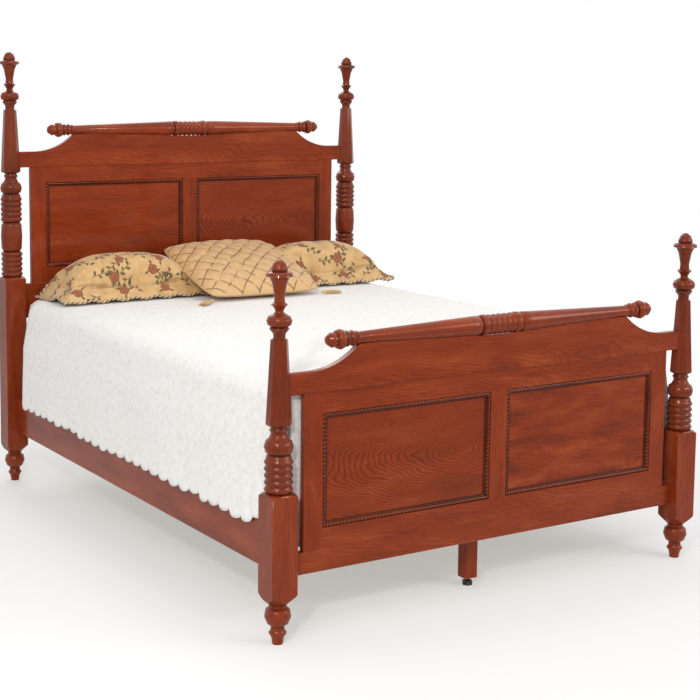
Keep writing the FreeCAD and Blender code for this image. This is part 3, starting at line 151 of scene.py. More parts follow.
def paintPoints(piece, layerName, colours):
    layer = piece.data.color_attributes.new(layerName, "FLOAT_COLOR", "POINT")
    layer.data.foreach_set("color", np.asarray(colours, np.float32).ravel())


def gridFaces(rows, columns, around=False, first=0):
    faces = []
    for i in range(rows - 1):
        for j in range(columns if around else columns - 1):
            k = (j + 1) % columns
            faces.append((first + i * columns + j, first + i * columns + k,
                          first + (i + 1) * columns + k, first + (i + 1) * columns + j))
    return faces


def pillowFaces(rows, columns):
    # two sheets of the same grid, sewn to each other round the rim; also gives the rim's points
    count = rows * columns
    faces = gridFaces(rows, columns)
    faces += [(q[3] + count, q[2] + count, q[1] + count, q[0] + count) for q in faces]
    rim = list(range(columns)) + [i * columns + columns - 1 for i in range(1, rows)]
    rim += [(rows - 1) * columns + j for j in range(columns - 2, -1, -1)]
    rim += [i * columns for i in range(rows - 2, 0, -1)]
    for here, there in zip(rim, rim[1:] + rim[:1]):
        faces.append((there, here, here + count, there + count))
    return faces, rim


def softNoise(x, y, size, seed):
    # smooth value noise from -1 to 1 on numpy arrays, lumps as wide as size
    table = np.random.default_rng(seed).uniform(-1, 1, (64, 64))
    u, v = np.asarray(x) / size + 500, np.asarray(y) / size + 500
    i, j = np.floor(u).astype(int), np.floor(v).astype(int)
    fu, fv = u - i, v - j
    fu, fv = fu * fu * (3 - 2 * fu), fv * fv * (3 - 2 * fv)
    at = lambda a, b: table[a % 64, b % 64]
    low = at(i, j) * (1 - fu) + at(i + 1, j) * fu
    high = at(i, j + 1) * (1 - fu) + at(i + 1, j + 1) * fu
    return low * (1 - fv) + high * fv


def smoothStep(low, high, x):
    t = np.clip((np.asarray(x, float) - low) / (high - low), 0, 1)
    return t * t * (3 - 2 * t)


def dome(x, power, root):
    # 1 in the middle, falling to 0 where x is 1 or more either way
    return np.clip(1 - np.abs(x) ** power, 0, 1) ** root


def bell(x, width):
    return np.exp(-(x / width) ** 2)


def ripple(x, length, phase=0.0):
    return np.sin(x * 2 * math.pi / length + phase)


def pathFrame(path, closed):
    # unit vectors to the side and upwards at each point of a path
    ahead = np.roll(path, -1, 0) - np.roll(path, 1, 0) if closed else np.gradient(path, axis=0)
    ahead /= np.linalg.norm(ahead, axis=1)[:, None]
    across = np.cross(ahead, (0.0, 0.0, 1.0))
    across /= np.linalg.norm(across, axis=1)[:, None]
    return across, np.cross(across, ahead)


def ringPoints(centre, across, up, radius, sides):
    angles = [2 * math.pi * k / sides for k in range(sides)]
    return [centre + (across * math.cos(angle) + up * math.sin(angle)) * radius for angle in angles]


def loopFaces(count, sides, first=0):
    last = first + (count - 1) * sides
    closing = [(last + k, last + (k + 1) % sides, first + (k + 1) % sides, first + k) for k in range(sides)]
    return gridFaces(count, sides, True, first) + closing


# solved from points of the photograph: metres, millimetres of lens, degrees
camera = {
    "place": (-2.96903, -4.65973, 1.62616),
    "lens": 77.545,
    "yaw": 31.5212,
    "pitch": 6.5249,
    "roll": 0.4063,
    "shift": (0.08, -0.14),
}


def setCamera():
    yaw, pitch, roll = (math.radians(camera[k]) for k in ("yaw", "pitch", "roll"))
    ahead = Vector((math.sin(yaw) * math.cos(pitch), math.cos(yaw) * math.cos(pitch), -math.sin(pitch)))
    right = Vector((math.cos(yaw), -math.sin(yaw), 0))
    up = right.cross(ahead)
    right, up = right * math.cos(roll) + up * math.sin(roll), up * math.cos(roll) - right * math.sin(roll)
    eye = bpy.data.cameras.new("camera")
    eye.lens, eye.sensor_width = camera["lens"], 36
    eye.shift_x, eye.shift_y = camera["shift"]
    eye.clip_end = 100
    holder = addObject("camera", eye)
    turn = Matrix((right, up, -ahead)).transposed().to_4x4()
    holder.matrix_world = Matrix.Translation(camera["place"]) @ turn
    bpy.context.scene.camera = holder
    bpy.context.scene.view_settings.view_transform = "Standard"


setCamera()

studio = {
    "white": "#ffffff",
    "floorColour": "#f4f3f1",
    "floorHalf": 30,
    "worldLight": 0.62,
    "floorGlow": 0.3,       # share of its own light the floor has under the bed, 1 far from it
    "fadeFrom": 1.3,
    "fadeTo": 2.9,
    "lamps": (
        # place, looks at, size, watts
        ((-3.6, -3.4, 3.6), (0, -0.2, 0.6), 2.6, 66),
        ((3.4, -4.2, 2.6), (0, -0.4, 0.6), 2.2, 48),
        ((0.4, 3.2, 3.4), (0, 0.2, 0.7), 2.4, 34),
        ((0.0, -0.4, 4.2), (0, 0.1, 0.6), 2.0, 22),
        # small ones, for the glints on the turned parts
        ((-3.3, -3.9, 2.7), (0, -0.9, 0.7), 0.3, 56),
        ((1.9, -4.9, 2.9), (0, -0.9, 0.7), 0.26, 24),
    ),
}


def setWorld():
    world = bpy.data.worlds.new("studio")
    bpy.context.scene.world = world
    tree = emptyTree(world)
    path = addNode(tree, "ShaderNodeLightPath").outputs
    seen = maths(tree, "MAXIMUM", path["Is Camera Ray"], path["Is Transmission Ray"])
    seen = maths(tree, "MAXIMUM", seen, path["Is Glossy Ray"])
    soft, plain = (addNode(tree, "ShaderNodeBackground", {"Color": studio["white"], "Strength": level})
                   for level in (studio["worldLight"], 1.0))
    both = addNode(tree, "ShaderNodeMixShader", {0: seen, 1: soft.outputs[0], 2: plain.outputs[0]})
    addNode(tree, "ShaderNodeOutputWorld", {"Surface": both.outputs[0]})


def studioPaper():
    # rolled paper: no gloss, keeps soft shadows, fades to its own white light away from the bed
    paper = bpy.data.materials.new("matt_studio_paper")
    tree = emptyTree(paper)
    flat = addNode(tree, "ShaderNodeBsdfDiffuse", {"Color": studio["floorColour"]})
    path = addNode(tree, "ShaderNodeLightPath").outputs
    dim = studio["worldLight"]
    level = maths(tree, "MULTIPLY_ADD", path["Is Camera Ray"], 1 - dim, dim)
    glow = addNode(tree, "ShaderNodeEmission", {"Color": studio["white"], "Strength": level})
    away = addNode(tree, "ShaderNodeVectorMath", {0: objectPlace(tree)}, operation="LENGTH").outputs["Value"]
    fade = remap(tree, away, studio["fadeFrom"], studio["fadeTo"], studio["floorGlow"], 1.0, "SMOOTHSTEP")
    both = addNode(tree, "ShaderNodeMixShader", {0: fade, 1: flat.outputs[0], 2: glow.outputs[0]})
    addNode(tree, "ShaderNodeOutputMaterial", {"Surface": both.outputs[0]})
    return paper


def setStudio():
    setWorld()
    half = studio["floorHalf"]
    corners = [(-half, -half, 0), (half, -half, 0), (half, half, 0), (-half, half, 0)]
    floor = meshPiece("floor", corners, [(0, 1, 2, 3)], studioPaper())
    for number, (place, target, size, watts) in enumerate(studio["lamps"]):
        lamp = bpy.data.lights.new("lamp%d" % number, "AREA")
        lamp.shape, lamp.size, lamp.energy = "DISK", size, watts
        holder = addObject("lamp%d" % number, lamp)
        holder.location = place
        holder.rotation_euler = (Vector(target) - Vector(place)).to_track_quat("-Z", "Y").to_euler()


setStudio()
print("camera and studio set")

cherry = {
    "dark": "#521d0d",
    "middle": "#883417",
    "light": "#9d4923",
    "line": "#4c1a0b",
    "pore": "#46180b",
    # painted shade for the turned grooves
    "grooveShade": "#200806",
    "glint": "#ffa477",
    # widths across the grain and lengths along it, in mm
    "sway": (120, 330),
    "cloud": (58, 270),
    "fibre": (3.2, 120),
    "pores": (1.5, 34),     # real pores are finer, drawn this coarse so that they show
    "ringSpacing": 6.2,     # mm between growth rings, measured square to them
    "swayReach": 0.07,      # m that the rings wander
    "gloss": 0.24,
    "specular": 0.22,
    "coat": 0.25,
    "turnedCoat": 0.36,
    "turnedShade": 0.8,
    "darkeningStep": 0.015,     # m over which the turnings grow darker
    "grooveShadeReach": 0.018,    # m from a corner within which the painted shade reaches
    "blockTop": {"foot": 0.45, "head": 0.835},
}

# by a word of the piece's name: way of the grain, a step that keeps figures apart, its place in the log
cuts = {
    "post": {"grain": "Z", "step": 1.0, "heart": (0.09, 0.14), "tilt": 2.0, "rings": 0.3, "mottle": 0.5,
             "shade": 0.95, "grooves": True},
    "panel": {"grain": "X", "step": 1.7, "heart": (0.16, 0.22), "tilt": 4.0, "rings": 0.22, "mottle": 0.45},
    # the moulding under the rope lumps is coloured very dark: painted shade for its recess and the gaps
    # between the lumps
    "moulding": {"grain": "X", "step": 1.0, "rings": 0.0, "shade": 0.3, "grooves": True},
    "side": {"grain": "Y", "step": 1.1, "heart": (0.2, 0.3), "tilt": 2.0, "rings": 0.25},
    "cleat": {"grain": "Y", "step": 1.1, "heart": (0.2, 0.3), "tilt": 2.0, "rings": 0.25},
    "stile": {"grain": "Z", "step": 2.1, "heart": (0.15, 0.2), "rings": 0.25},
    "muntin": {"grain": "Z", "step": 2.1, "heart": (0.15, 0.2), "rings": 0.25},
    "leg": {"grain": "Z", "step": 2.1, "heart": (0.15, 0.2), "rings": 0.25},
    "blanket": {"grain": "X", "step": 1.3, "heart": (0.1, 0.16), "tilt": 5.0, "rings": 0.32,
                "grooves": True},
    "rail": {"grain": "X", "step": 1.3, "heart": (0.1, 0.16), "tilt": 5.0, "rings": 0.32},
}
ownFigure = {
    "foot_panel_left": {"heart": (0.01, 0.05), "tilt": -15.0, "rings": 0.6},
    "head_panel_right": {"heart": (0.02, 0.06), "tilt": -11.0, "rings": 0.6},
    "foot_panel_right": {"mottle": 0.8},
}


def varnishedCherry(name, seed, grain, board=None, heart=(0.5, 0.3), tilt=3.0, rings=0.2, mottle=0.55,
                    shade=1.0, grooves=False, turnedFrom=None):
    # cherry under satin varnish: growth rings round the log's heart, which lies beside or behind the board
    coat = cherry["turnedCoat" if grooves else "coat"]
    material, tree, shader = newMaterial(name, Coat_Weight=coat, Coat_Roughness=0.06,
                                         Specular_IOR_Level=cherry["specular"],
                                         Specular_Tint=cherry["glint"])
    place = objectPlace(tree)
    middle = (board[0] + board[1]) / 2 if board else Vector((0, 0, 0))
    across, behind = {"X": ("Z", "Y"), "Y": ("Z", "X"), "Z": ("X", "Y")}[grain]

    def stretched(size, shift):
        width, length = size
        scale = [1000 / width] * 3
        scale["XYZ".index(grain)] = 1000 / length
        shifted = (seed * 3.7 + shift, seed * 1.9, seed * 5.3)
        return mapped(tree, place, Location=shifted, Scale=scale)

    lean = Matrix.Rotation(math.radians(tilt), 3, across)
    offset = Vector((0, 0, 0))
    offset["XYZ".index(across)], offset["XYZ".index(behind)] = heart
    log = mapped(tree, place, Rotation=lean.to_euler(), Location=offset - lean @ middle)
    sway = noise(tree, stretched(cherry["sway"], 11), 1.0, 3.0, output="Color")
    sway = vectorMaths(tree, "SUBTRACT", sway, (0.5, 0.5, 0.5))
    log = vectorMaths(tree, "MULTIPLY_ADD", sway, [cherry["swayReach"]] * 3, log)
    density = 1000 * math.pi / 10 / cherry["ringSpacing"]
    wave = addNode(tree, "ShaderNodeTexWave", {"Vector": log, "Scale": density, "Distortion": 0.0},
                   wave_type="RINGS", rings_direction=grain, wave_profile="SAW").outputs["Fac"]
    fibre = noise(tree, stretched(cherry["fibre"], 5), 1.0, 4.0, 0.6)
    late = remap(tree, wave, 0.35, 0.95, 0.0, rings, "SMOOTHSTEP")
    late = maths(tree, "MULTIPLY", maths(tree, "MULTIPLY", late, fibre), 1.9, clamp=True)
    cloud = maths(tree, "ADD", noise(tree, stretched(cherry["cloud"], 7), 1.0, 5.0, 0.6, 0.35), -0.5)
    tone = maths(tree, "MULTIPLY_ADD", cloud, mottle * 2.5, 0.58)
    tone = maths(tree, "ADD", tone, maths(tree, "MULTIPLY_ADD", fibre, 0.3, -0.15))
    colour = rampColour(tree, tone, (0.0, cherry["dark"]), (0.6, cherry["middle"]), (1.0, cherry["light"]))
    colour = mixColours(tree, late, colour, cherry["line"])
    pores = noise(tree, stretched(cherry["pores"], 3), 1.0, 2.0, 0.6)
    colour = mixColours(tree, remap(tree, pores, 0.56, 0.74, 0.0, 0.34), colour, cherry["pore"])
    if turnedFrom:  # the turnings are coloured darker than the square block below them
        height = addNode(tree, "ShaderNodeSeparateXYZ", {0: place}).outputs["Z"]
        turnedTo = turnedFrom + cherry["darkeningStep"]
        shade = remap(tree, height, turnedFrom, turnedTo, shade, shade * cherry["turnedShade"])
    colour = addNode(tree, "ShaderNodeHueSaturation", {"Color": colour, "Value": shade}).outputs[0]
    if grooves:  # painted shade in the turned grooves, darkest where ambient occlusion finds them closed in
        corner = addNode(tree, "ShaderNodeAmbientOcclusion", {"Distance": cherry["grooveShadeReach"]}, samples=6,
                         only_local=True).outputs["AO"]
        keep = remap(tree, corner, 0.35, 0.92, 0.95, 0.0)
        colour = mixColours(tree, keep, colour, cherry["grooveShade"])
    rough = remap(tree, fibre, 0.3, 0.7, cherry["gloss"] - 0.05, cherry["gloss"] + 0.08)
    feed(tree, shader, colour, pores, 0.1, 0.0006, True, rough)
    return material


def planedPoplar(name, seed):
    # unfinished slat wood: pale, dry, faint straight grain
    material, tree, shader = newMaterial(name, Roughness=0.62)
    place = mapped(tree, objectPlace(tree), Location=(seed, seed * 2.3, 0), Scale=(2.2, 55, 55))
    grain = noise(tree, place, 1.0, 6.0, 0.6)
    colour = rampColour(tree, grain, (0.3, "#a98a5c"), (0.52, "#c9ae7f"), (0.72, "#d9c49a"))
    feed(tree, shader, colour, grain, 0.2, 0.0005)
    return material


def blackenedSteel():
    # stamped steel bed hardware, blackened: dull metal with a faint blotchy film
    material, tree, shader = newMaterial("blackened_steel", Metallic=1.0, Roughness=0.42)
    film = noise(tree, objectPlace(tree), 90.0, 3.0)
    feed(tree, shader, rampColour(tree, film, (0.35, "#3b3a3a"), (0.65, "#5b5957")),
         rough=remap(tree, film, 0.0, 1.0, 0.34, 0.55))
    return material


def newGroup(name, **kinds):
    # a node group that takes geometry and the values named, and gives geometry
    tree = bpy.data.node_groups.new(name, "GeometryNodeTree")
    for socket, kind in {"Geometry": "Geometry", **kinds}.items():
        tree.interface.new_socket(socket, in_out="INPUT", socket_type="NodeSocket" + kind)
    tree.interface.new_socket("Geometry", in_out="OUTPUT", socket_type="NodeSocketGeometry")
    return tree, addNode(tree, "NodeGroupInput").outputs


# metres between points that are one, how level an edge runs, and edge angles in degrees
smoothing = {"join": 0.00002, "level": 0.12, "ridge": 74, "hollow": -38, "slight": 27}


def smoothTurnedTree(axis):
    # joins the loose triangles and shades them smooth; ridges round the axis of turning stay soft
    tree, entry = newGroup("smooth_turned_" + axis)

    def chain(kind, inputs, **settings):
        return addNode(tree, kind, inputs, **settings).outputs[0]

    def compare(value, limit, operation):
        return chain("FunctionNodeCompare", {0: value, 1: limit}, operation=operation)

    def both(first, second, operation="AND"):
        return chain("FunctionNodeBooleanMath", {0: first, 1: second}, operation=operation)

    def smoothed(geometry, share, domain):
        inputs = {"Geometry": geometry, "Shade Smooth": share}
        return chain("GeometryNodeSetShadeSmooth", inputs, domain=domain)

    joined = chain("GeometryNodeMergeByDistance", {"Geometry": entry[0], "Distance": smoothing["join"]})
    plain = chain("GeometryNodeRemoveAttribute", {"Geometry": joined, "Name": "custom_normal"})
    ends = addNode(tree, "GeometryNodeInputMeshEdgeVertices").outputs
    run = vectorMaths(tree, "SUBTRACT", ends["Position 2"], ends["Position 1"])
    run = vectorMaths(tree, "NORMALIZE", run)
    level = maths(tree, "ABSOLUTE", addNode(tree, "ShaderNodeSeparateXYZ", {0: run}).outputs[axis])
    angle = addNode(tree, "GeometryNodeInputMeshEdgeAngle").outputs
    ridge = compare(angle["Signed Angle"], math.radians(smoothing["ridge"]), "LESS_THAN")
    hollow = compare(angle["Signed Angle"], math.radians(smoothing["hollow"]), "GREATER_THAN")
    slight = compare(angle["Unsigned Angle"], math.radians(smoothing["slight"]), "LESS_THAN")
    around = both(both(ridge, hollow), compare(level, smoothing["level"], "LESS_THAN"))
    soft = both(around, slight, "OR")
    addNode(tree, "NodeGroupOutput", {0: smoothed(smoothed(plain, True, "FACE"), soft, "EDGE")})
    return tree


def dressWood():
    trees = {axis: smoothTurnedTree(axis) for axis in "XZ"}
    steel = blackenedSteel()
    for count, (name, node) in enumerate(sorted(nodes.items())):
        kinds = name.split("_")
        cut = next((word for word in cuts if word in kinds), None)
        if "plates" in kinds or "leveller" in kinds:
            material = steel
        elif cut:
            settings = {**cuts[cut], **ownFigure.get(name, {})}
            seed = count * settings.pop("step")
            if cut == "post":
                settings["turnedFrom"] = cherry["blockTop"][kinds[0]]
            material = varnishedCherry("cherry_" + name, seed, board=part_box(name), **settings)
        elif "slat" in kinds:
            material = planedPoplar("poplar_" + name, count)
        else:
            continue
        node.data.materials.clear()
        node.data.materials.append(material)
        if material is not steel and {"post", "blanket", "top"} & set(kinds):
            smooth = node.modifiers.new("smooth", "NODES")
            smooth.node_group = trees["Z" if "post" in kinds else "X"]


dressWood()
print("wood dressed")

ropeTwist = {
    "pitch": 0.0125,
    "fromOpening": 0.006,
    "lumpHalf": (0.0072, 0.0063, 0.0038),   # along the strand, towards the room, across the strand
    "lean": 43,
    "openingHalf": (0.310, 0.171),
    "boards": {"foot": (-1.0463, 0.495), "head": (1.0377, 1.036)},
    "openingX": 0.342,
}


def ropeTree():
    # lumps strung along a line of edges, each leaning the same way
    tree, entry = newGroup("rope_twist", Pitch="Float", Lump="Vector", Lean="Float", Wood="Material")

    def chain(kind, inputs, **settings):
        return addNode(tree, kind, inputs, **settings).outputs

    curve = chain("GeometryNodeMeshToCurve", {0: entry["Geometry"]})[0]
    points = chain("GeometryNodeCurveToPoints", {"Curve": curve, "Length": entry["Pitch"]}, mode="LENGTH")
    ball = chain("GeometryNodeMeshUVSphere", {"Segments": 8, "Rings": 6, "Radius": 1.0})[0]
    lump = chain("GeometryNodeTransform", {"Geometry": ball, "Scale": entry["Lump"]})[0]
    along = chain("FunctionNodeAlignRotationToVector", {"Vector": points["Tangent"]}, axis="X")[0]
    lean = chain("FunctionNodeAxisAngleToRotation", {"Axis": (0, 1, 0), "Angle": entry["Lean"]})[0]
    turned = chain("FunctionNodeRotateRotation", {0: along, 1: lean}, rotation_space="GLOBAL")[0]
    lumps = {"Points": points[0], "Instance": lump, "Rotation": turned}
    spread = chain("GeometryNodeInstanceOnPoints", lumps)[0]
    real = chain("GeometryNodeRealizeInstances", {0: spread})[0]
    smooth = chain("GeometryNodeSetShadeSmooth", {"Geometry": real, "Shade Smooth": True})[0]
    done = chain("GeometryNodeSetMaterial", {"Geometry": smooth, "Material": entry["Wood"]})[0]
    addNode(tree, "NodeGroupOutput", {0: done})
    return tree


def settle(piece):
    # the evaluated result becomes a plain mesh, with no modifier left
    bpy.context.view_layer.update()
    mesh = bpy.data.meshes.new_from_object(piece.evaluated_get(bpy.context.evaluated_depsgraph_get()))
    piece.modifiers.clear()
    old = piece.data
    piece.data = mesh
    bpy.data.meshes.remove(old)


def setInput(modifier, name, value):
    for item in modifier.node_group.interface.items_tree:
        if item.item_type == "SOCKET" and item.in_out == "INPUT" and item.name == name:
            modifier[item.identifier] = value


def makeRopeTwist():
    tree = ropeTree()
    wood = varnishedCherry("cherry_rope_lumps", 41, "X", rings=0.0)
    halfX, halfZ = (half - ropeTwist["fromOpening"] for half in ropeTwist["openingHalf"])
    settings = {"Pitch": ropeTwist["pitch"], "Lump": ropeTwist["lumpHalf"],
                "Lean": math.radians(ropeTwist["lean"]), "Wood": wood}
    for board, (y, z) in ropeTwist["boards"].items():
        for side, x in (("left", -ropeTwist["openingX"]), ("right", ropeTwist["openingX"])):
            corners = [(x + a * halfX, y, z + b * halfZ) for a, b in ((-1, -1), (1, -1), (1, 1), (-1, 1))]
            mesh = bpy.data.meshes.new("rope")
            mesh.from_pydata(corners, [(0, 1), (1, 2), (2, 3), (3, 0)], [])
            piece = addObject(board + "_rope_twist_" + side, mesh)
            modifier = piece.modifiers.new("rope", "NODES")
            modifier.node_group = tree
            for name, value in settings.items():
                setInput(modifier, name, value)
            settle(piece)
            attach(piece, "frame")


makeRopeTwist()
print("rope twist carved")

ticking = {
    "ground": "#ebe7dc",
    "stripe": "#c9c6bb",
    "stripeSpacing": 22,    # mm
    "tape": "#d9d5c8",
    "tapeRadius": 0.006,
    "tapeSides": 8,
    "tapeSunk": 0.002,      # m of the tape that lies in the cloth
    "quilting": 42,         # radians of the quilted hollows per metre
    "capShares": (0.92, 0.8, 0.66, 0.5, 0.34, 0.18),
}
pads = {
    "mattress": {"corner": 0.07, "edge": 0.045, "bulge": 0.004, "tufts": 0.002, "body": "mattress"},
    "box_spring": {"corner": 0.06, "edge": 0.012, "bulge": 0.003, "tufts": 0.0, "body": "frame"},
}


def cottonTicking(name):
    # woven ticking: matt, close twill with fine woven stripes
    material, tree, shader = newMaterial(name, Roughness=0.88, Sheen_Weight=0.25)
    place = objectPlace(tree)
    stripes = {"Vector": mapped(tree, place, Scale=(1, 1, 0)), "Distortion": 0.0,
               "Scale": 1000 * math.pi / 5 / ticking["stripeSpacing"]}
    line = addNode(tree, "ShaderNodeTexWave", stripes, bands_direction="DIAGONAL").outputs["Fac"]
    ground = ticking["ground"]
    colour = rampColour(tree, line, (0.08, ticking["stripe"]), (0.16, ground), (1.0, ground))
    feed(tree, shader, colour, noise(tree, place, 650.0, 2.0))
    return material


def ringOutline(halfX, halfY, corner, steps=9, apart=0.045):
    # points round a rounded rectangle: closer together in its corners
    points = []
    for start, wayX, wayY in ((0, 1, 1), (90, -1, 1), (180, -1, -1), (270, 1, -1)):
        for i in range(steps):
            angle = math.radians(start + 90 * i / (steps - 1))
            points.append((wayX * (halfX - corner) + corner * math.cos(angle),
                           wayY * (halfY - corner) + corner * math.sin(angle)))
    dense = []
    for (x, y), (nextX, nextY) in zip(points, points[1:] + points[:1]):
        count = max(1, int(math.hypot(nextX - x, nextY - y) / apart))
        dense += [(x + (nextX - x) * k / count, y + (nextY - y) * k / count) for k in range(count)]
    return dense


def padOutlines(low, high, corner, edge, bulge):
    # outlines of the pad from its bottom to its top, all with the same number of points
    halfX, halfY, tall = (high.x - low.x) / 2, (high.y - low.y) / 2, high.z - low.z
    quarter = [math.radians(90 * i / 5) for i in range(6)]
    rounding = [(edge * (1 - math.sin(angle)), edge * (1 - math.cos(angle))) for angle in quarter]
    rings = [(low.z + rise, inset) for rise, inset in reversed(rounding)]
    rings += [(low.z + edge + (tall - edge * 2) * i / 8, 0.0) for i in range(1, 8)]
    rings += [(high.z - rise, inset) for rise, inset in rounding]
    outlines = []
    for z, inset in rings:
        swell = bulge * math.sin(math.pi * min(1, max(0, (z - low.z) / tall))) - bulge
        around = ringOutline(halfX - inset + swell, halfY - inset + swell, max(0.012, corner - inset))
        outlines.append([(x, y, z) for x, y in around])
    columns = min(len(outline) for outline in outlines)
    return [[p[round(j * len(p) / columns) % len(p)] for j in range(columns)] for p in outlines]


def makePad(node, corner, edge, bulge, tufts, body):
    name = node + "_pad"
    low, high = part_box(node)
    outlines = padOutlines(low, high, corner, edge, bulge)
    columns = len(outlines[0])
    points = [p for outline in outlines for p in outline]
    faces = gridFaces(len(outlines), columns, True)
    for ring, way in ((0, 1), (len(outlines) - 1, -1)):
        # caps: shrinking rings towards the middle, with quilted hollows
        last = ring * columns
        for share in ticking["capShares"]:
            start = len(points)
            for x, y, z in outlines[ring]:
                waves = math.cos(x * share * ticking["quilting"]) * math.cos(y * share * ticking["quilting"])
                points.append((x * share, y * share, z + way * tufts * (0.5 - 0.5 * waves)))
            for j in range(columns):
                k = (j + 1) % columns
                faces.append((last + j, last + k, start + k, start + j)[::-way])
            last = start
        points.append((0, 0, outlines[ring][0][2]))
        for j in range(columns):
            faces.append((*(last + j, last + (j + 1) % columns)[::-way], len(points) - 1))
    piece = meshPiece(name, points, faces, cottonTicking(name + "_ticking"))
    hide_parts(node)
    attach(piece, body)
    tape, _, _ = newMaterial(name + "_tape", Roughness=0.8, Base_Color=ticking["tape"], Sheen_Weight=0.2)
    inset = edge * 0.12 + ticking["tapeRadius"] - ticking["tapeSunk"]
    for level, z in (("low", low.z + edge * 0.55), ("high", high.z - edge * 0.55)):
        around = ringOutline((high.x - low.x) / 2 - inset, (high.y - low.y) / 2 - inset, corner)
        cordPiece = sweptCord(name + "_tape_" + level, [(x, y, z) for x, y in around], tape)
        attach(cordPiece, body)


def sweptCord(name, path, material):
    path = np.array(path, float)
    points = []
    for p, across, up in zip(path, *pathFrame(path, True)):
        points += ringPoints(p, across, up, ticking["tapeRadius"], ticking["tapeSides"])
    return meshPiece(name, points, loopFaces(len(path), ticking["tapeSides"]), material)


for padNode, padSizes in pads.items():
    makePad(padNode, **padSizes)
print("mattress and box spring padded")

coverlet = {
    # across the bed: flat half, round edge, bend of the fall and hem as (x, z)
    "top": 0.7501,
    "halfFlat": 0.7115,
    "round": 0.066,
    "turn": (0.8005, 0.565),
    "hem": (0.8117, 0.335),
    # along the bed: ends of the flat part, then the fall over the foot
    "head": 0.925,
    "foot": -0.985,
    "footFace": -1.0215,
    "footRound": 0.034,
    "footHalf": 0.7449,
    "footHem": 0.404,
    "footLift": (0.034, 0.13),      # m that the hem rises at the foot, and over what length
    "footFolds": 0.0065,
    "foldPitch": 0.062,
    "foldReach": 0.22,
    "scallops": 28,
    "scallopDepth": 0.013,
    "perScallop": 6,
    "uneven": 0.0035,
    # waves and lumps of the cloth: height and length
    "sideWave": (0.0026, 0.47),
    "sideLumps": (0.002, 0.11),
    "footWave": (0.002, 0.3),
    "topLumps": (0.0016, 0.2),
    "edgeDip": 0.001,
    "hemCurl": 0.004,
    "thickness": 0.0035,
    "white": "#f1efeb",
    "shade": "#e3e0da",
}


def whiteMatelasse():
    # washed cotton matelasse: thick matt double weave, small puffs and dashes, no gloss
    material, tree, shader = newMaterial("white_matelasse", Roughness=0.92, Sheen_Weight=0.3,
                                         Sheen_Roughness=0.6)
    place = addNode(tree, "ShaderNodeUVMap", uv_map="flat").outputs[0]
    puffs = addNode(tree, "ShaderNodeTexVoronoi", {"Vector": place, "Scale": 62.0, "Randomness": 0.9},
                    feature="SMOOTH_F1", voronoi_dimensions="2D").outputs["Distance"]
    height = maths(tree, "MULTIPLY_ADD", puffs, -0.55, noise(tree, place, 26.0, 5.0, 0.65, 1.6))
    height = maths(tree, "MULTIPLY_ADD", noise(tree, place, 260.0, 3.0), 0.35, height)
    white = coverlet["white"]
    # the low places between the puffs are coloured darker: painted shade
    colour = rampColour(tree, height, (0.15, coverlet["shade"]), (0.62, white), (1.0, white))
    feed(tree, shader, colour, height, 0.6, 0.0022)
    return material


def acrossLengths():
    # cloth lengths across the bed, from its middle line: the flat half, the round edge, the bend and the hem
    c = coverlet
    edge = c["halfFlat"] + c["round"] * math.pi / 2
    bend = edge + math.dist((c["halfFlat"] + c["round"], c["top"] - c["round"]), c["turn"])
    return c["halfFlat"], edge, bend, bend + math.dist(c["turn"], c["hem"])


def acrossProfile(s):
    # x and z of the outer face at cloth distance s from the middle line, and how far down the fall it is
    c = coverlet
    flat, edge, bend, hem = acrossLengths()
    sign = -1 if s < 0 else 1
    s = abs(s)
    if s <= flat:
        return sign * s, c["top"], 0.0
    if s <= edge:
        angle = (s - flat) / c["round"]
        x, drop = flat + c["round"] * math.sin(angle), c["round"] * (1 - math.cos(angle))
        return sign * x, c["top"] - drop, 0.0
    start = (c["halfFlat"] + c["round"], c["top"] - c["round"])
    x, z = (np.interp(s, (edge, bend, hem), run) for run in zip(start, c["turn"], c["hem"]))
    return sign * x, z, (s - edge) / (hem - edge)


def topSag(x, y):
    # the cloth lies a little uneven on the mattress and dips towards its edge
    high, size = coverlet["topLumps"]
    dip = coverlet["edgeDip"] * float(smoothStep(0.55, 0.71, abs(x)))
    return high * float(softNoise(x, y, size, 9)) - high - dip


def stops(*runs):
    # places along a path, for runs given as where each ends and in how many steps
    places = [0.0]
    for end, steps in runs:
        places += list(np.linspace(places[-1], end, steps + 1)[1:])
    return places


def hemDrop(part, extra):
    # how far one scallop hangs at a place from 0 to 1 along it
    arc = 1 - (2 * part - 1) ** 2
    bow = math.sqrt(max(0.0, arc)) * 0.55 + arc * 0.45
    return coverlet["scallopDepth"] * bow * (1 + extra * 40) + extra


def drapeSides(columns):
    # the cloth over the mattress and down both sides, row by row from the foot to the head
    c = coverlet
    ys = np.linspace(c["foot"], c["head"], c["scallops"] * c["perScallop"] + 1)
    pitch = (c["head"] - c["foot"]) / c["scallops"]
    hang = np.random.default_rng(7).uniform(-c["uneven"], c["uneven"], c["scallops"] + 1)
    lift, liftReach = c["footLift"]
    (waveHigh, waveLong), (lumpHigh, lumpSize) = c["sideWave"], c["sideLumps"]
    points, flat = [], []
    for y in ys:
        number = min(c["scallops"] - 1, int((y - c["foot"]) / pitch + 1e-9))
        part = ((y - c["foot"]) - number * pitch) / pitch
        lifted = lift * (1 - float(smoothStep(c["foot"], c["foot"] + liftReach, y)))
        drop = hemDrop(part, hang[number]) - lifted
        folds = c["footFolds"] * float(1 - smoothStep(c["foot"], c["foot"] + c["foldReach"], y))
        for s in columns:
            x, z, t = acrossProfile(s)
            sign = -1 if s < 0 else 1
            if t > 0:
                z -= drop * t ** 3
                wave = waveHigh * ripple(y, waveLong, sign) + lumpHigh * float(softNoise(y, z, lumpSize, 5))
                wave += folds * (ripple(y, c["foldPitch"]) - 1)
                curl = c["hemCurl"] * t ** 8 * math.sin(part * math.pi)
                x += sign * (wave * smoothStep(0.0, 1.0, t) + curl)
            else:
                z += topSag(x, y)
            points.append((x, y, z))
            flat.append((s, y))
    return points, flat


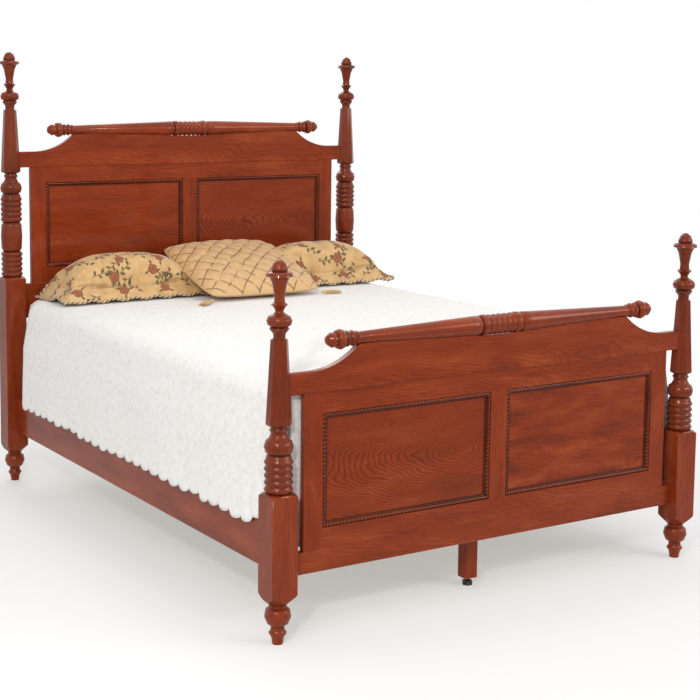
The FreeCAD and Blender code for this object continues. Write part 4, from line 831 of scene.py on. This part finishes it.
def footPoint(s, far, depth, bend, drop):
    # a point of the fall over the foot, at cloth distance far from the end of the flat part
    c = coverlet
    x, top, _ = acrossProfile(s)
    top += topSag(x, c["foot"])
    if far <= depth:
        return x, c["foot"] - far, top
    if far <= depth + bend:
        angle = (far - depth) / c["footRound"]
        y = c["footFace"] + c["footRound"] * (1 - math.sin(angle))
        return x, y, top - c["footRound"] * (1 - math.cos(angle))
    down = (far - depth - bend) / drop
    high, long = c["footWave"]
    return (x, c["footFace"] + high * ripple(x, long) * down,
            top - c["footRound"] - (drop - (c["top"] - top)) * down)


def makeCoverlet():
    c = coverlet
    flatHalf, edge, _, half = acrossLengths()
    sFoot = flatHalf + c["round"] * math.asin((c["footHalf"] - flatHalf) / c["round"])
    positive = stops((flatHalf, 43), (sFoot, 3), (edge, 5), (half, 29))
    columns = [-s for s in positive[:0:-1]] + positive
    points, flat = drapeSides(columns)
    faces = gridFaces(len(points) // len(columns), len(columns))
    inner = [j for j, s in enumerate(columns) if abs(s) <= sFoot + 1e-9]
    depth = c["foot"] - c["footFace"] - c["footRound"]
    bend = c["footRound"] * math.pi / 2
    drop = c["top"] - c["footRound"] - c["footHem"]
    travel = stops((depth, 1), (depth + bend, 7), (depth + bend + drop, 25))[1:]
    above = inner
    for far in travel:
        here = list(range(len(points), len(points) + len(inner)))
        points += [footPoint(columns[j], far, depth, bend, drop) for j in inner]
        flat += [(columns[j], c["foot"] - far) for j in inner]
        faces += [(here[n], here[n + 1], above[n + 1], above[n]) for n in range(len(inner) - 1)]
        above = here
    piece = meshPiece("coverlet_cloth", points, faces, whiteMatelasse())
    layer = piece.data.uv_layers.new(name="flat")
    loops = np.zeros(len(piece.data.loops), int)
    piece.data.loops.foreach_get("vertex_index", loops)
    layer.data.foreach_set("uv", np.array(flat, np.float32)[loops].ravel())
    thick = piece.modifiers.new("thickness", "SOLIDIFY")
    thick.thickness, thick.offset = c["thickness"], -1
    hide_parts("coverlet")
    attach(piece, "mattress")


makeCoverlet()
print("coverlet draped")

# sides of a strand, its radius and distance from the middle as shares of the cord's radius, step in metres
twist = {"sides": 6, "strand": 0.56, "offset": 0.48, "step": 0.0024}


def rayonThread(name, colour, dark):
    # twisted rayon: soft sheen, the colour a little uneven from ply to ply
    material, tree, shader = newMaterial(name, Roughness=0.5, Sheen_Weight=0.5)
    ply = noise(tree, objectPlace(tree), 900.0, 2.0)
    feed(tree, shader, rampColour(tree, ply, (0.3, dark), (0.6, colour)))
    return material


def resample(path):
    # the same closed path in even steps
    path = np.vstack([path, path[:1]])
    lengths = np.concatenate([[0], np.cumsum(np.linalg.norm(np.diff(path, axis=0), axis=1))])
    count = max(4, int(lengths[-1] / twist["step"]))
    at = np.linspace(0, lengths[-1], count + 1)[:-1]
    return np.stack([np.interp(at, lengths, path[:, k]) for k in range(3)], 1)


def twistedCord(name, outline, radius, pitch, materials):
    # two strands laid round each other along a closed outline
    path = resample(outline)
    steps = np.linalg.norm(np.diff(path, axis=0, append=path[:1]), axis=1)
    along = np.concatenate([[0], np.cumsum(steps)[:-1]])
    total = steps.sum()
    turns = max(1, round(total / pitch))
    print(name, "length", round(float(total), 3))
    points, faces, slots = [], [], []
    for strand in (0, 1):
        made = loopFaces(len(path), twist["sides"], len(points))
        for p, across, up, far in zip(path, *pathFrame(path, True), along):
            turn = 2 * math.pi * turns * far / total + math.pi * strand
            centre = p + (across * math.cos(turn) + up * math.sin(turn)) * radius * twist["offset"]
            points += ringPoints(centre, across, up, radius * twist["strand"], twist["sides"])
        faces += made
        slots += [strand] * len(made)
    return meshPiece(name, points, faces, *materials, slots=slots)


def leaned(piece, b, height):
    # y and z in the room of a place on a pillow's leaning plane: b from its front edge, height over it
    tilt = math.radians(piece["tilt"])
    return (piece["front"] + b * math.cos(tilt) - height * math.sin(tilt),
            piece["lift"] + b * math.sin(tilt) + height * math.cos(tilt))


sham = {
    "front": 0.694,
    "lift": 0.7545,
    "bedTop": 0.7525,
    "tilt": 7,
    "halfWidth": 0.268,
    "halfDepth": 0.098,
    "flange": 0.055,
    "linesAcross": (240, 20),   # grid lines over the filled part and over one flange
    "linesAlong": (120, 16),
    "seamLift": 0.044,
    "seamDent": (0.004, 0.022),
    "rise": 0.112,
    "puckers": ((0.0045, 0.016), (0.004, 0.05)),    # height and size, as for the lumps
    "lumps": ((0.007, 0.12), (0.003, 0.045)),
    "waves": ((0.004, 0.093), (0.0035, 0.078)),
    "halfCloth": 0.0012,
    "cordRadius": 0.0047,
    "cordPitch": 0.021,
    "sides": {"left": {"shift": -0.398, "seed": 11}, "right": {"shift": 0.513, "seed": 24}},
    "ground": "#d6b07a",
    "groundDark": "#bd935b",
    "blossom": "#84452a",
    "blossomLight": "#a9683f",
    "leaf": "#55492a",
    "stem": "#4a3a24",
    "cord": {"cream_thread": ("#ead9b4", "#b59a6c"), "brown_thread": ("#7d4a2c", "#33190e")},
}
sprays = {
    "across": 0.098,
    "along": 0.082,
    "scatter": (0.016, 0.014),
    "offset": 0.04,             # m that every other row is moved
    "blossom": (0.017, 0.023),
    "underLeaf": 0.011,
    "bend": 12,                 # radians per metre of stem
    "step": 0.0078,
    "steps": 11,
    "leaf": (0.009, 0.014),
}


def drawSprays(x, y, width, depth, seed):
    # printed sprays on flat cloth: masks for blossoms, leaves and stems at each point, own layout
    rng = np.random.default_rng(seed)
    blossom, inner, leaf, stem = (np.zeros_like(x) for _ in range(4))
    columns, rows = int(width / sprays["across"]) + 1, int(depth / sprays["along"]) + 1
    scatterX, scatterY = sprays["scatter"]

    def leafAt(px, py, side, reach):
        lx, ly = px + math.cos(side) * reach, py + math.sin(side) * reach
        u = (x - lx) * math.cos(side) + (y - ly) * math.sin(side)
        v = -(x - lx) * math.sin(side) + (y - ly) * math.cos(side)
        shape = np.abs(u) / reach + (np.abs(v) / (reach * 0.5)) ** 1.4
        return np.maximum(leaf, 1 - smoothStep(0.8, 1.15, shape))

    for a in range(columns):
        for b in range(rows):
            px = -width / 2 + (a + 0.5) * width / columns + rng.uniform(-scatterX, scatterX)
            px += sprays["offset"] if b % 2 else 0
            py = (b + 0.5) * depth / rows + rng.uniform(-scatterY, scatterY)
            heading, bend = rng.uniform(0, 2 * math.pi), rng.uniform(-sprays["bend"], sprays["bend"])
            size = rng.uniform(*sprays["blossom"])
            if (a + b) % 2:
                for petal in range(5):
                    angle = heading + petal * 2 * math.pi / 5
                    away = size * 0.55
                    near = np.hypot(x - px - math.cos(angle) * away, y - py - math.sin(angle) * away)
                    blossom = np.maximum(blossom, 1 - smoothStep(size * 0.42, size * 0.58, near))
                    inner = np.maximum(inner, 1 - smoothStep(size * 0.1, size * 0.32, near))
                for angle in (heading + 2.2, heading + 4.0):
                    base = (px + math.cos(angle) * size * 0.9, py + math.sin(angle) * size * 0.9)
                    leaf = leafAt(*base, angle, sprays["underLeaf"])
            for step in range(sprays["steps"]):
                px += math.cos(heading) * sprays["step"]
                py += math.sin(heading) * sprays["step"]
                heading += bend * sprays["step"]
                stem = np.maximum(stem, 1 - smoothStep(0.001, 0.0042, np.hypot(x - px, y - py)))
                if step % 2:
                    side = heading + (0.9 if step % 4 == 1 else -0.9)
                    leaf = leafAt(px, py, side, rng.uniform(*sprays["leaf"]))
    return blossom, inner, leaf, stem


def printedCotton():
    # printed cotton sateen: soft woven ground with a faint slub, the print sunk into the weave
    material, tree, shader = newMaterial("printed_cotton", Roughness=0.72, Sheen_Weight=0.35,
                                         Sheen_Roughness=0.4)
    place = objectPlace(tree)
    ground = rampColour(tree, noise(tree, place, 24.0, 4.0, 0.6),
                        (0.3, sham["groundDark"]), (0.6, sham["ground"]), (1.0, sham["ground"]))
    prints = addNode(tree, "ShaderNodeVertexColor", layer_name="print").outputs
    blossom, leaf, stem = addNode(tree, "ShaderNodeSeparateColor", {0: prints["Color"]}).outputs
    # the stems' colour also draws the seam line: stitches and painted shade
    colour = mixColours(tree, stem, ground, sham["stem"])
    colour = mixColours(tree, leaf, colour, sham["leaf"])
    petals = mixColours(tree, prints["Alpha"], sham["blossom"], sham["blossomLight"])
    colour = mixColours(tree, blossom, colour, petals)
    feed(tree, shader, colour, noise(tree, place, 700.0, 2.0), 0.25)
    return material


def shamPoint(a, b, top, shift):
    # a, b in metres on the sham's own plane: a across from its middle, b from its front edge to its back
    s = sham
    u = a / s["halfWidth"]
    v = (b - s["halfDepth"] - s["flange"]) / s["halfDepth"]
    u = u / (1 - 0.035 * (1 - np.clip(np.abs(v), 0, 1) ** 2))
    v = v / (1 - 0.05 * (1 - np.clip(np.abs(u), 0, 1) ** 2))
    farX, farY = np.abs(u), np.abs(v)
    far = np.maximum(farX, farY)
    beyond = np.hypot(np.maximum(farX - 1, 0) * s["halfWidth"], np.maximum(farY - 1, 0) * s["halfDepth"])
    share = np.clip(beyond / s["flange"], 0, 1)
    inside = dome(u, 3.4, 0.52) * dome(v, 2.6, 0.5)
    apron = s["seamLift"] * (1 - share) ** 0.85
    if top:
        gathers = bell(1 - far, 0.16) * (share <= 0)
        (fineHigh, fine), (coarseHigh, coarse) = s["puckers"]
        puckers = fineHigh * softNoise(a, b * 0.4, fine, 31) + coarseHigh * softNoise(a, b, coarse, 33)
        (bigHigh, big), (smallHigh, small) = s["lumps"]
        lumps = bigHigh * softNoise(a + shift, b, big, 35) + smallHigh * softNoise(a, b + shift, small, 37)
        height = apron + s["rise"] * inside * (1 - 0.1 * (u + 0.15) ** 2)
        height = height + gathers * puckers + inside * lumps
        height = height - s["seamDent"][0] * bell(far - 1, s["seamDent"][1])
    else:
        height = apron * (1 - np.clip(inside * 1.6, 0, 1))
    (highX, longX), (highY, longY) = s["waves"]
    wave = highX * (ripple(a, longX, shift * 9) + 1) + highY * ripple(b, longY)
    height = height + share * wave + (s["halfCloth"] if top else -s["halfCloth"])
    x = a + shift
    y, z = leaned(s, b, height)
    # the outer end's flange folds down over the rounded edge of the bed, more so towards the back
    outward = np.clip((np.abs(x) - abs(shift) - s["halfWidth"]) / s["flange"], 0, 1)
    z = z - outward * smoothStep(0.2, 0.8, b / 0.3) * (0.03 + 0.045 * smoothStep(0.2, 0.9, b / 0.3))
    bed = s["bedTop"] - np.maximum(np.abs(x) - coverlet["halfFlat"], 0) ** 2 * 9
    return x, y, np.maximum(z, bed + (0.0 if top else -0.0015))


def clothLines(half, flange, body, edge):
    # grid lines across a sham: close together where the filled part rises steeply from its seam
    inner = half * np.sin(np.linspace(-math.pi / 2, math.pi / 2, body))
    outer = np.linspace(half, half + flange, edge + 1)[1:]
    return np.concatenate([-outer[::-1], inner, outer])


def clothLengths(sheet, axis):
    # distances along the swollen cloth from its first line
    moves = np.diff(sheet, axis=axis, prepend=np.take(sheet, [0], axis))
    return np.cumsum(np.linalg.norm(moves, axis=2), axis=axis)


def paintSham(piece, sheet, a, b, seed):
    # the print follows the cloth, and a darker line follows the seam: its stitches, and painted shade in its
    # crease
    alongX, alongY = clothLengths(sheet, 1), clothLengths(sheet, 0)
    middle = a.shape[1] // 2
    alongX = alongX - alongX[:, middle:middle + 1]
    blossom, inner, leaf, stem = drawSprays(alongX, alongY, alongX.max() * 2, alongY.max(), seed)
    # stitches along the seam and painted shade in its crease, drawn in the stems' colour
    seam = np.maximum(np.abs(a / sham["halfWidth"]), np.abs(b / sham["halfDepth"]) / 0.96)
    stem = np.maximum(stem, 0.4 * bell(seam - 1, 0.01))
    colours = np.stack([blossom, leaf, stem, inner], -1).reshape(-1, 4)
    paintPoints(piece, "print", np.vstack([colours, colours]))


def makeSham(side, material, threads):
    s = sham
    shift = s["sides"][side]["shift"]
    halfX, halfY = s["halfWidth"] + s["flange"], s["halfDepth"] + s["flange"]
    a, b = np.meshgrid(clothLines(s["halfWidth"], s["flange"], *s["linesAcross"]),
                       clothLines(s["halfDepth"], s["flange"], *s["linesAlong"]))
    # rounded, slightly drawn-in outline
    na, nb = a / halfX, b / halfY
    a = a * (1 - 0.03 * (1 - nb ** 2)) * (1 - 0.014 * np.abs(nb) ** 14)
    b = b * (1 - 0.04 * (1 - na ** 2)) * (1 - 0.02 * np.abs(na) ** 14)
    sheets = [np.stack(shamPoint(a, halfY + b, top, shift), -1) for top in (True, False)]
    faces, rim = pillowFaces(*a.shape)
    points = [sheet.reshape(-1, 3) for sheet in sheets]
    piece = meshPiece("sham_" + side, np.vstack(points), faces, material)
    paintSham(piece, sheets[0], a, b, s["sides"][side]["seed"])
    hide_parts("pillow_sham_" + side)
    outline = (points[0][rim] + points[1][rim]) / 2 + np.array((0, 0, 0.0015))
    cord = twistedCord("sham_cord_" + side, outline, s["cordRadius"], s["cordPitch"], threads)
    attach(piece, "pillows")
    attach(cord, "pillows")


shamThreads = [rayonThread(name, *colours) for name, colours in sham["cord"].items()]
printed = printedCotton()
for side in ("left", "right"):
    makeSham(side, printed, shamThreads)
print("shams filled")

accent = {
    "front": 0.516,
    "lift": 0.7716,
    "tilt": 18,
    "halfX": 0.256,
    "halfY": 0.24,
    "lines": 240,
    "crown": 0.066,
    "belly": 0.034,
    "shift": 0.085,
    "tuckSpacing": 0.056,
    "tuckDepth": 0.0085,
    "cordRadius": 0.0032,
    "cordPitch": 0.014,
    "gold": "#cb9e69",
    "goldLight": "#dab682",
    "thread": "#745033",
    "cord": {"gold_thread": ("#e2c084", "#bd9257"), "tan_thread": ("#a67c49", "#7b5730")},
}


def pintuckedSilk():
    # dupioni silk with stitched tucks: slubbed, soft gloss, dark thread in the tucks
    material, tree, shader = newMaterial("pintucked_silk", Roughness=0.5, Sheen_Weight=0.4,
                                         Sheen_Roughness=0.35)
    slub = noise(tree, mapped(tree, objectPlace(tree), Scale=(30, 420, 420)), 1.0, 4.0, 0.6)
    silk = rampColour(tree, slub, (0.3, accent["gold"]), (0.7, accent["goldLight"]))
    tucks = addNode(tree, "ShaderNodeVertexColor", layer_name="tucks").outputs["Color"]
    share = addNode(tree, "ShaderNodeSeparateColor", {0: tucks}).outputs[0]
    feed(tree, shader, mixColours(tree, share, silk, accent["thread"]), slub, 0.3, 0.0005)
    return material


def cushionSwell(a, b, top):
    # height over the cushion's plane, and how much thread shows, at a and b metres from its middle
    c = accent
    inside = dome(a / c["halfX"], 2.6, 0.5) * dome(b / c["halfY"], 2.6, 0.5)
    away = []
    for diagonal, seed in ((a + b, 51), (a - b, 53)):
        f = (diagonal / math.sqrt(2) + 0.007 * softNoise(a, b, 0.07, seed)) / c["tuckSpacing"]
        away.append(np.abs(f - np.floor(f) - 0.5) * c["tuckSpacing"])
    puff = np.clip(away[0] * away[1] * 4 / c["tuckSpacing"] ** 2, 0, 1) ** 0.35
    thread = 1 - smoothStep(0.001, 0.0037, np.minimum(*away))
    worn = smoothStep(-0.75, 0.1, softNoise(a, b, 0.02, 55))
    height = (c["crown"] if top else -c["belly"]) * inside
    if top:
        relief = c["tuckDepth"] * (puff - 0.6) + 0.0018 * softNoise(a, b, 0.022, 57)
        height = height + relief * np.clip(inside * 2, 0, 1)
    return height, thread * worn * np.clip(inside * 6, 0, 1)


def makeCushion():
    c = accent
    a, b = np.meshgrid(np.linspace(-c["halfX"], c["halfX"], c["lines"]),
                       np.linspace(-c["halfY"], c["halfY"], c["lines"]))
    na, nb = a / c["halfX"], b / c["halfY"]
    # rounded corners: the sheet is drawn in only where both edges are near, and swells a little between
    drawn = 1 - 0.06 * np.abs(na * nb) ** 6
    drawnA = a * (drawn + 0.012 * (1 - nb ** 2))
    drawnB = b * (drawn + 0.012 * (1 - na ** 2))
    points, threads = [], []
    for top in (True, False):
        height, thread = cushionSwell(a, b, top)
        room = (drawnA + c["shift"], *leaned(c, drawnB + c["halfY"], height))
        points.append(np.stack(room, -1).reshape(-1, 3))
        threads.append((thread if top else np.zeros_like(a)).ravel())
    faces, rim = pillowFaces(*a.shape)
    piece = meshPiece("cushion_silk_cover", np.vstack(points), faces, pintuckedSilk())
    shares = np.concatenate(threads)
    paintPoints(piece, "tucks", np.stack([shares, shares, shares, np.ones_like(shares)], -1))
    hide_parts("accent_cushion")
    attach(piece, "cushion")
    gold = [rayonThread(name, *colours) for name, colours in c["cord"].items()]
    outline = (points[0][rim] + points[1][rim]) / 2
    cord = twistedCord("cushion_cord", outline, c["cordRadius"], c["cordPitch"], gold)
    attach(cord, "cushion")
    return gold


tassel = {
    "z": 0.7594,
    "cord": 0.006,
    "cordRadius": 0.0022,
    "head": 0.012,
    # distance from the cord and radius, down the bound head
    "headShape": ((0.0, 0.003), (0.002, 0.006), (0.006, 0.0075), (0.010, 0.0068), (0.0118, 0.0048),
                  (0.013, 0.0056), (0.015, 0.006)),
    "skirt": 0.074,
    "bound": 0.0052,
    "radius": 0.0145,
    "threads": 170,
    "threadRadius": 0.0009,
    "uneven": 0.006,
    "places": ((-0.166, 0.512, 213), (0.336, 0.512, 2)),    # start and the way it points, in degrees
}


def makeTassels(gold):
    t = tassel
    rng = np.random.default_rng(5)
    points, faces, slots = [], [], []

    def tube(path, radii, sides, slot):
        first = len(points)
        path = np.array(path, float)
        for p, across, up, radius in zip(path, *pathFrame(path, False), radii):
            points.extend(ringPoints(p, across, up, radius, sides))
        last = len(points) - sides
        made = gridFaces(len(path), sides, True, first)
        made += [tuple(range(first, first + sides))[::-1], tuple(range(last, last + sides))]
        faces.extend(made)
        slots.extend([slot] * len(made))

    for x, y, heading in t["places"]:
        way = np.array((math.cos(math.radians(heading)), math.sin(math.radians(heading)), 0.0))
        across = np.array((-way[1], way[0], 0.0))
        start = np.array((x, y, t["z"]))
        bound = t["cord"] + t["head"]
        tube([start + way * far for far in np.linspace(0, t["cord"], 6)], [t["cordRadius"]] * 6, 6, 1)
        places, radii = zip(*t["headShape"])
        tube([start + way * (t["cord"] + far) for far in places], radii, 12, 0)
        for _ in range(t["threads"]):
            angle, spread = rng.uniform(0, 2 * math.pi), math.sqrt(rng.uniform(0.1, 1))
            side, lift = math.cos(angle) * spread, math.sin(angle) * spread
            length = bound + t["skirt"] - rng.uniform(0, t["uneven"])
            path = []
            for far in np.linspace(bound - 0.002, length, 6):
                share = max(0.0, (far - bound) / t["skirt"])
                opening = t["bound"] + (t["radius"] - t["bound"]) * share ** 0.7
                rise = lift * opening * (1 - 0.65 * share) - 0.0045 * share
                aside = across * side * opening * (1 + 0.25 * share)
                path.append(start + way * far + aside + np.array((0, 0, rise)))
            tube(path, [t["threadRadius"]] * 6, 4, 0 if rng.uniform() < 0.8 else 1)
    piece = meshPiece("cushion_tassel_threads", points, faces, *gold, slots=slots)
    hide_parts("cushion_tassels")
    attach(piece, "cushion")


makeTassels(makeCushion())
print("cushion and tassels made")
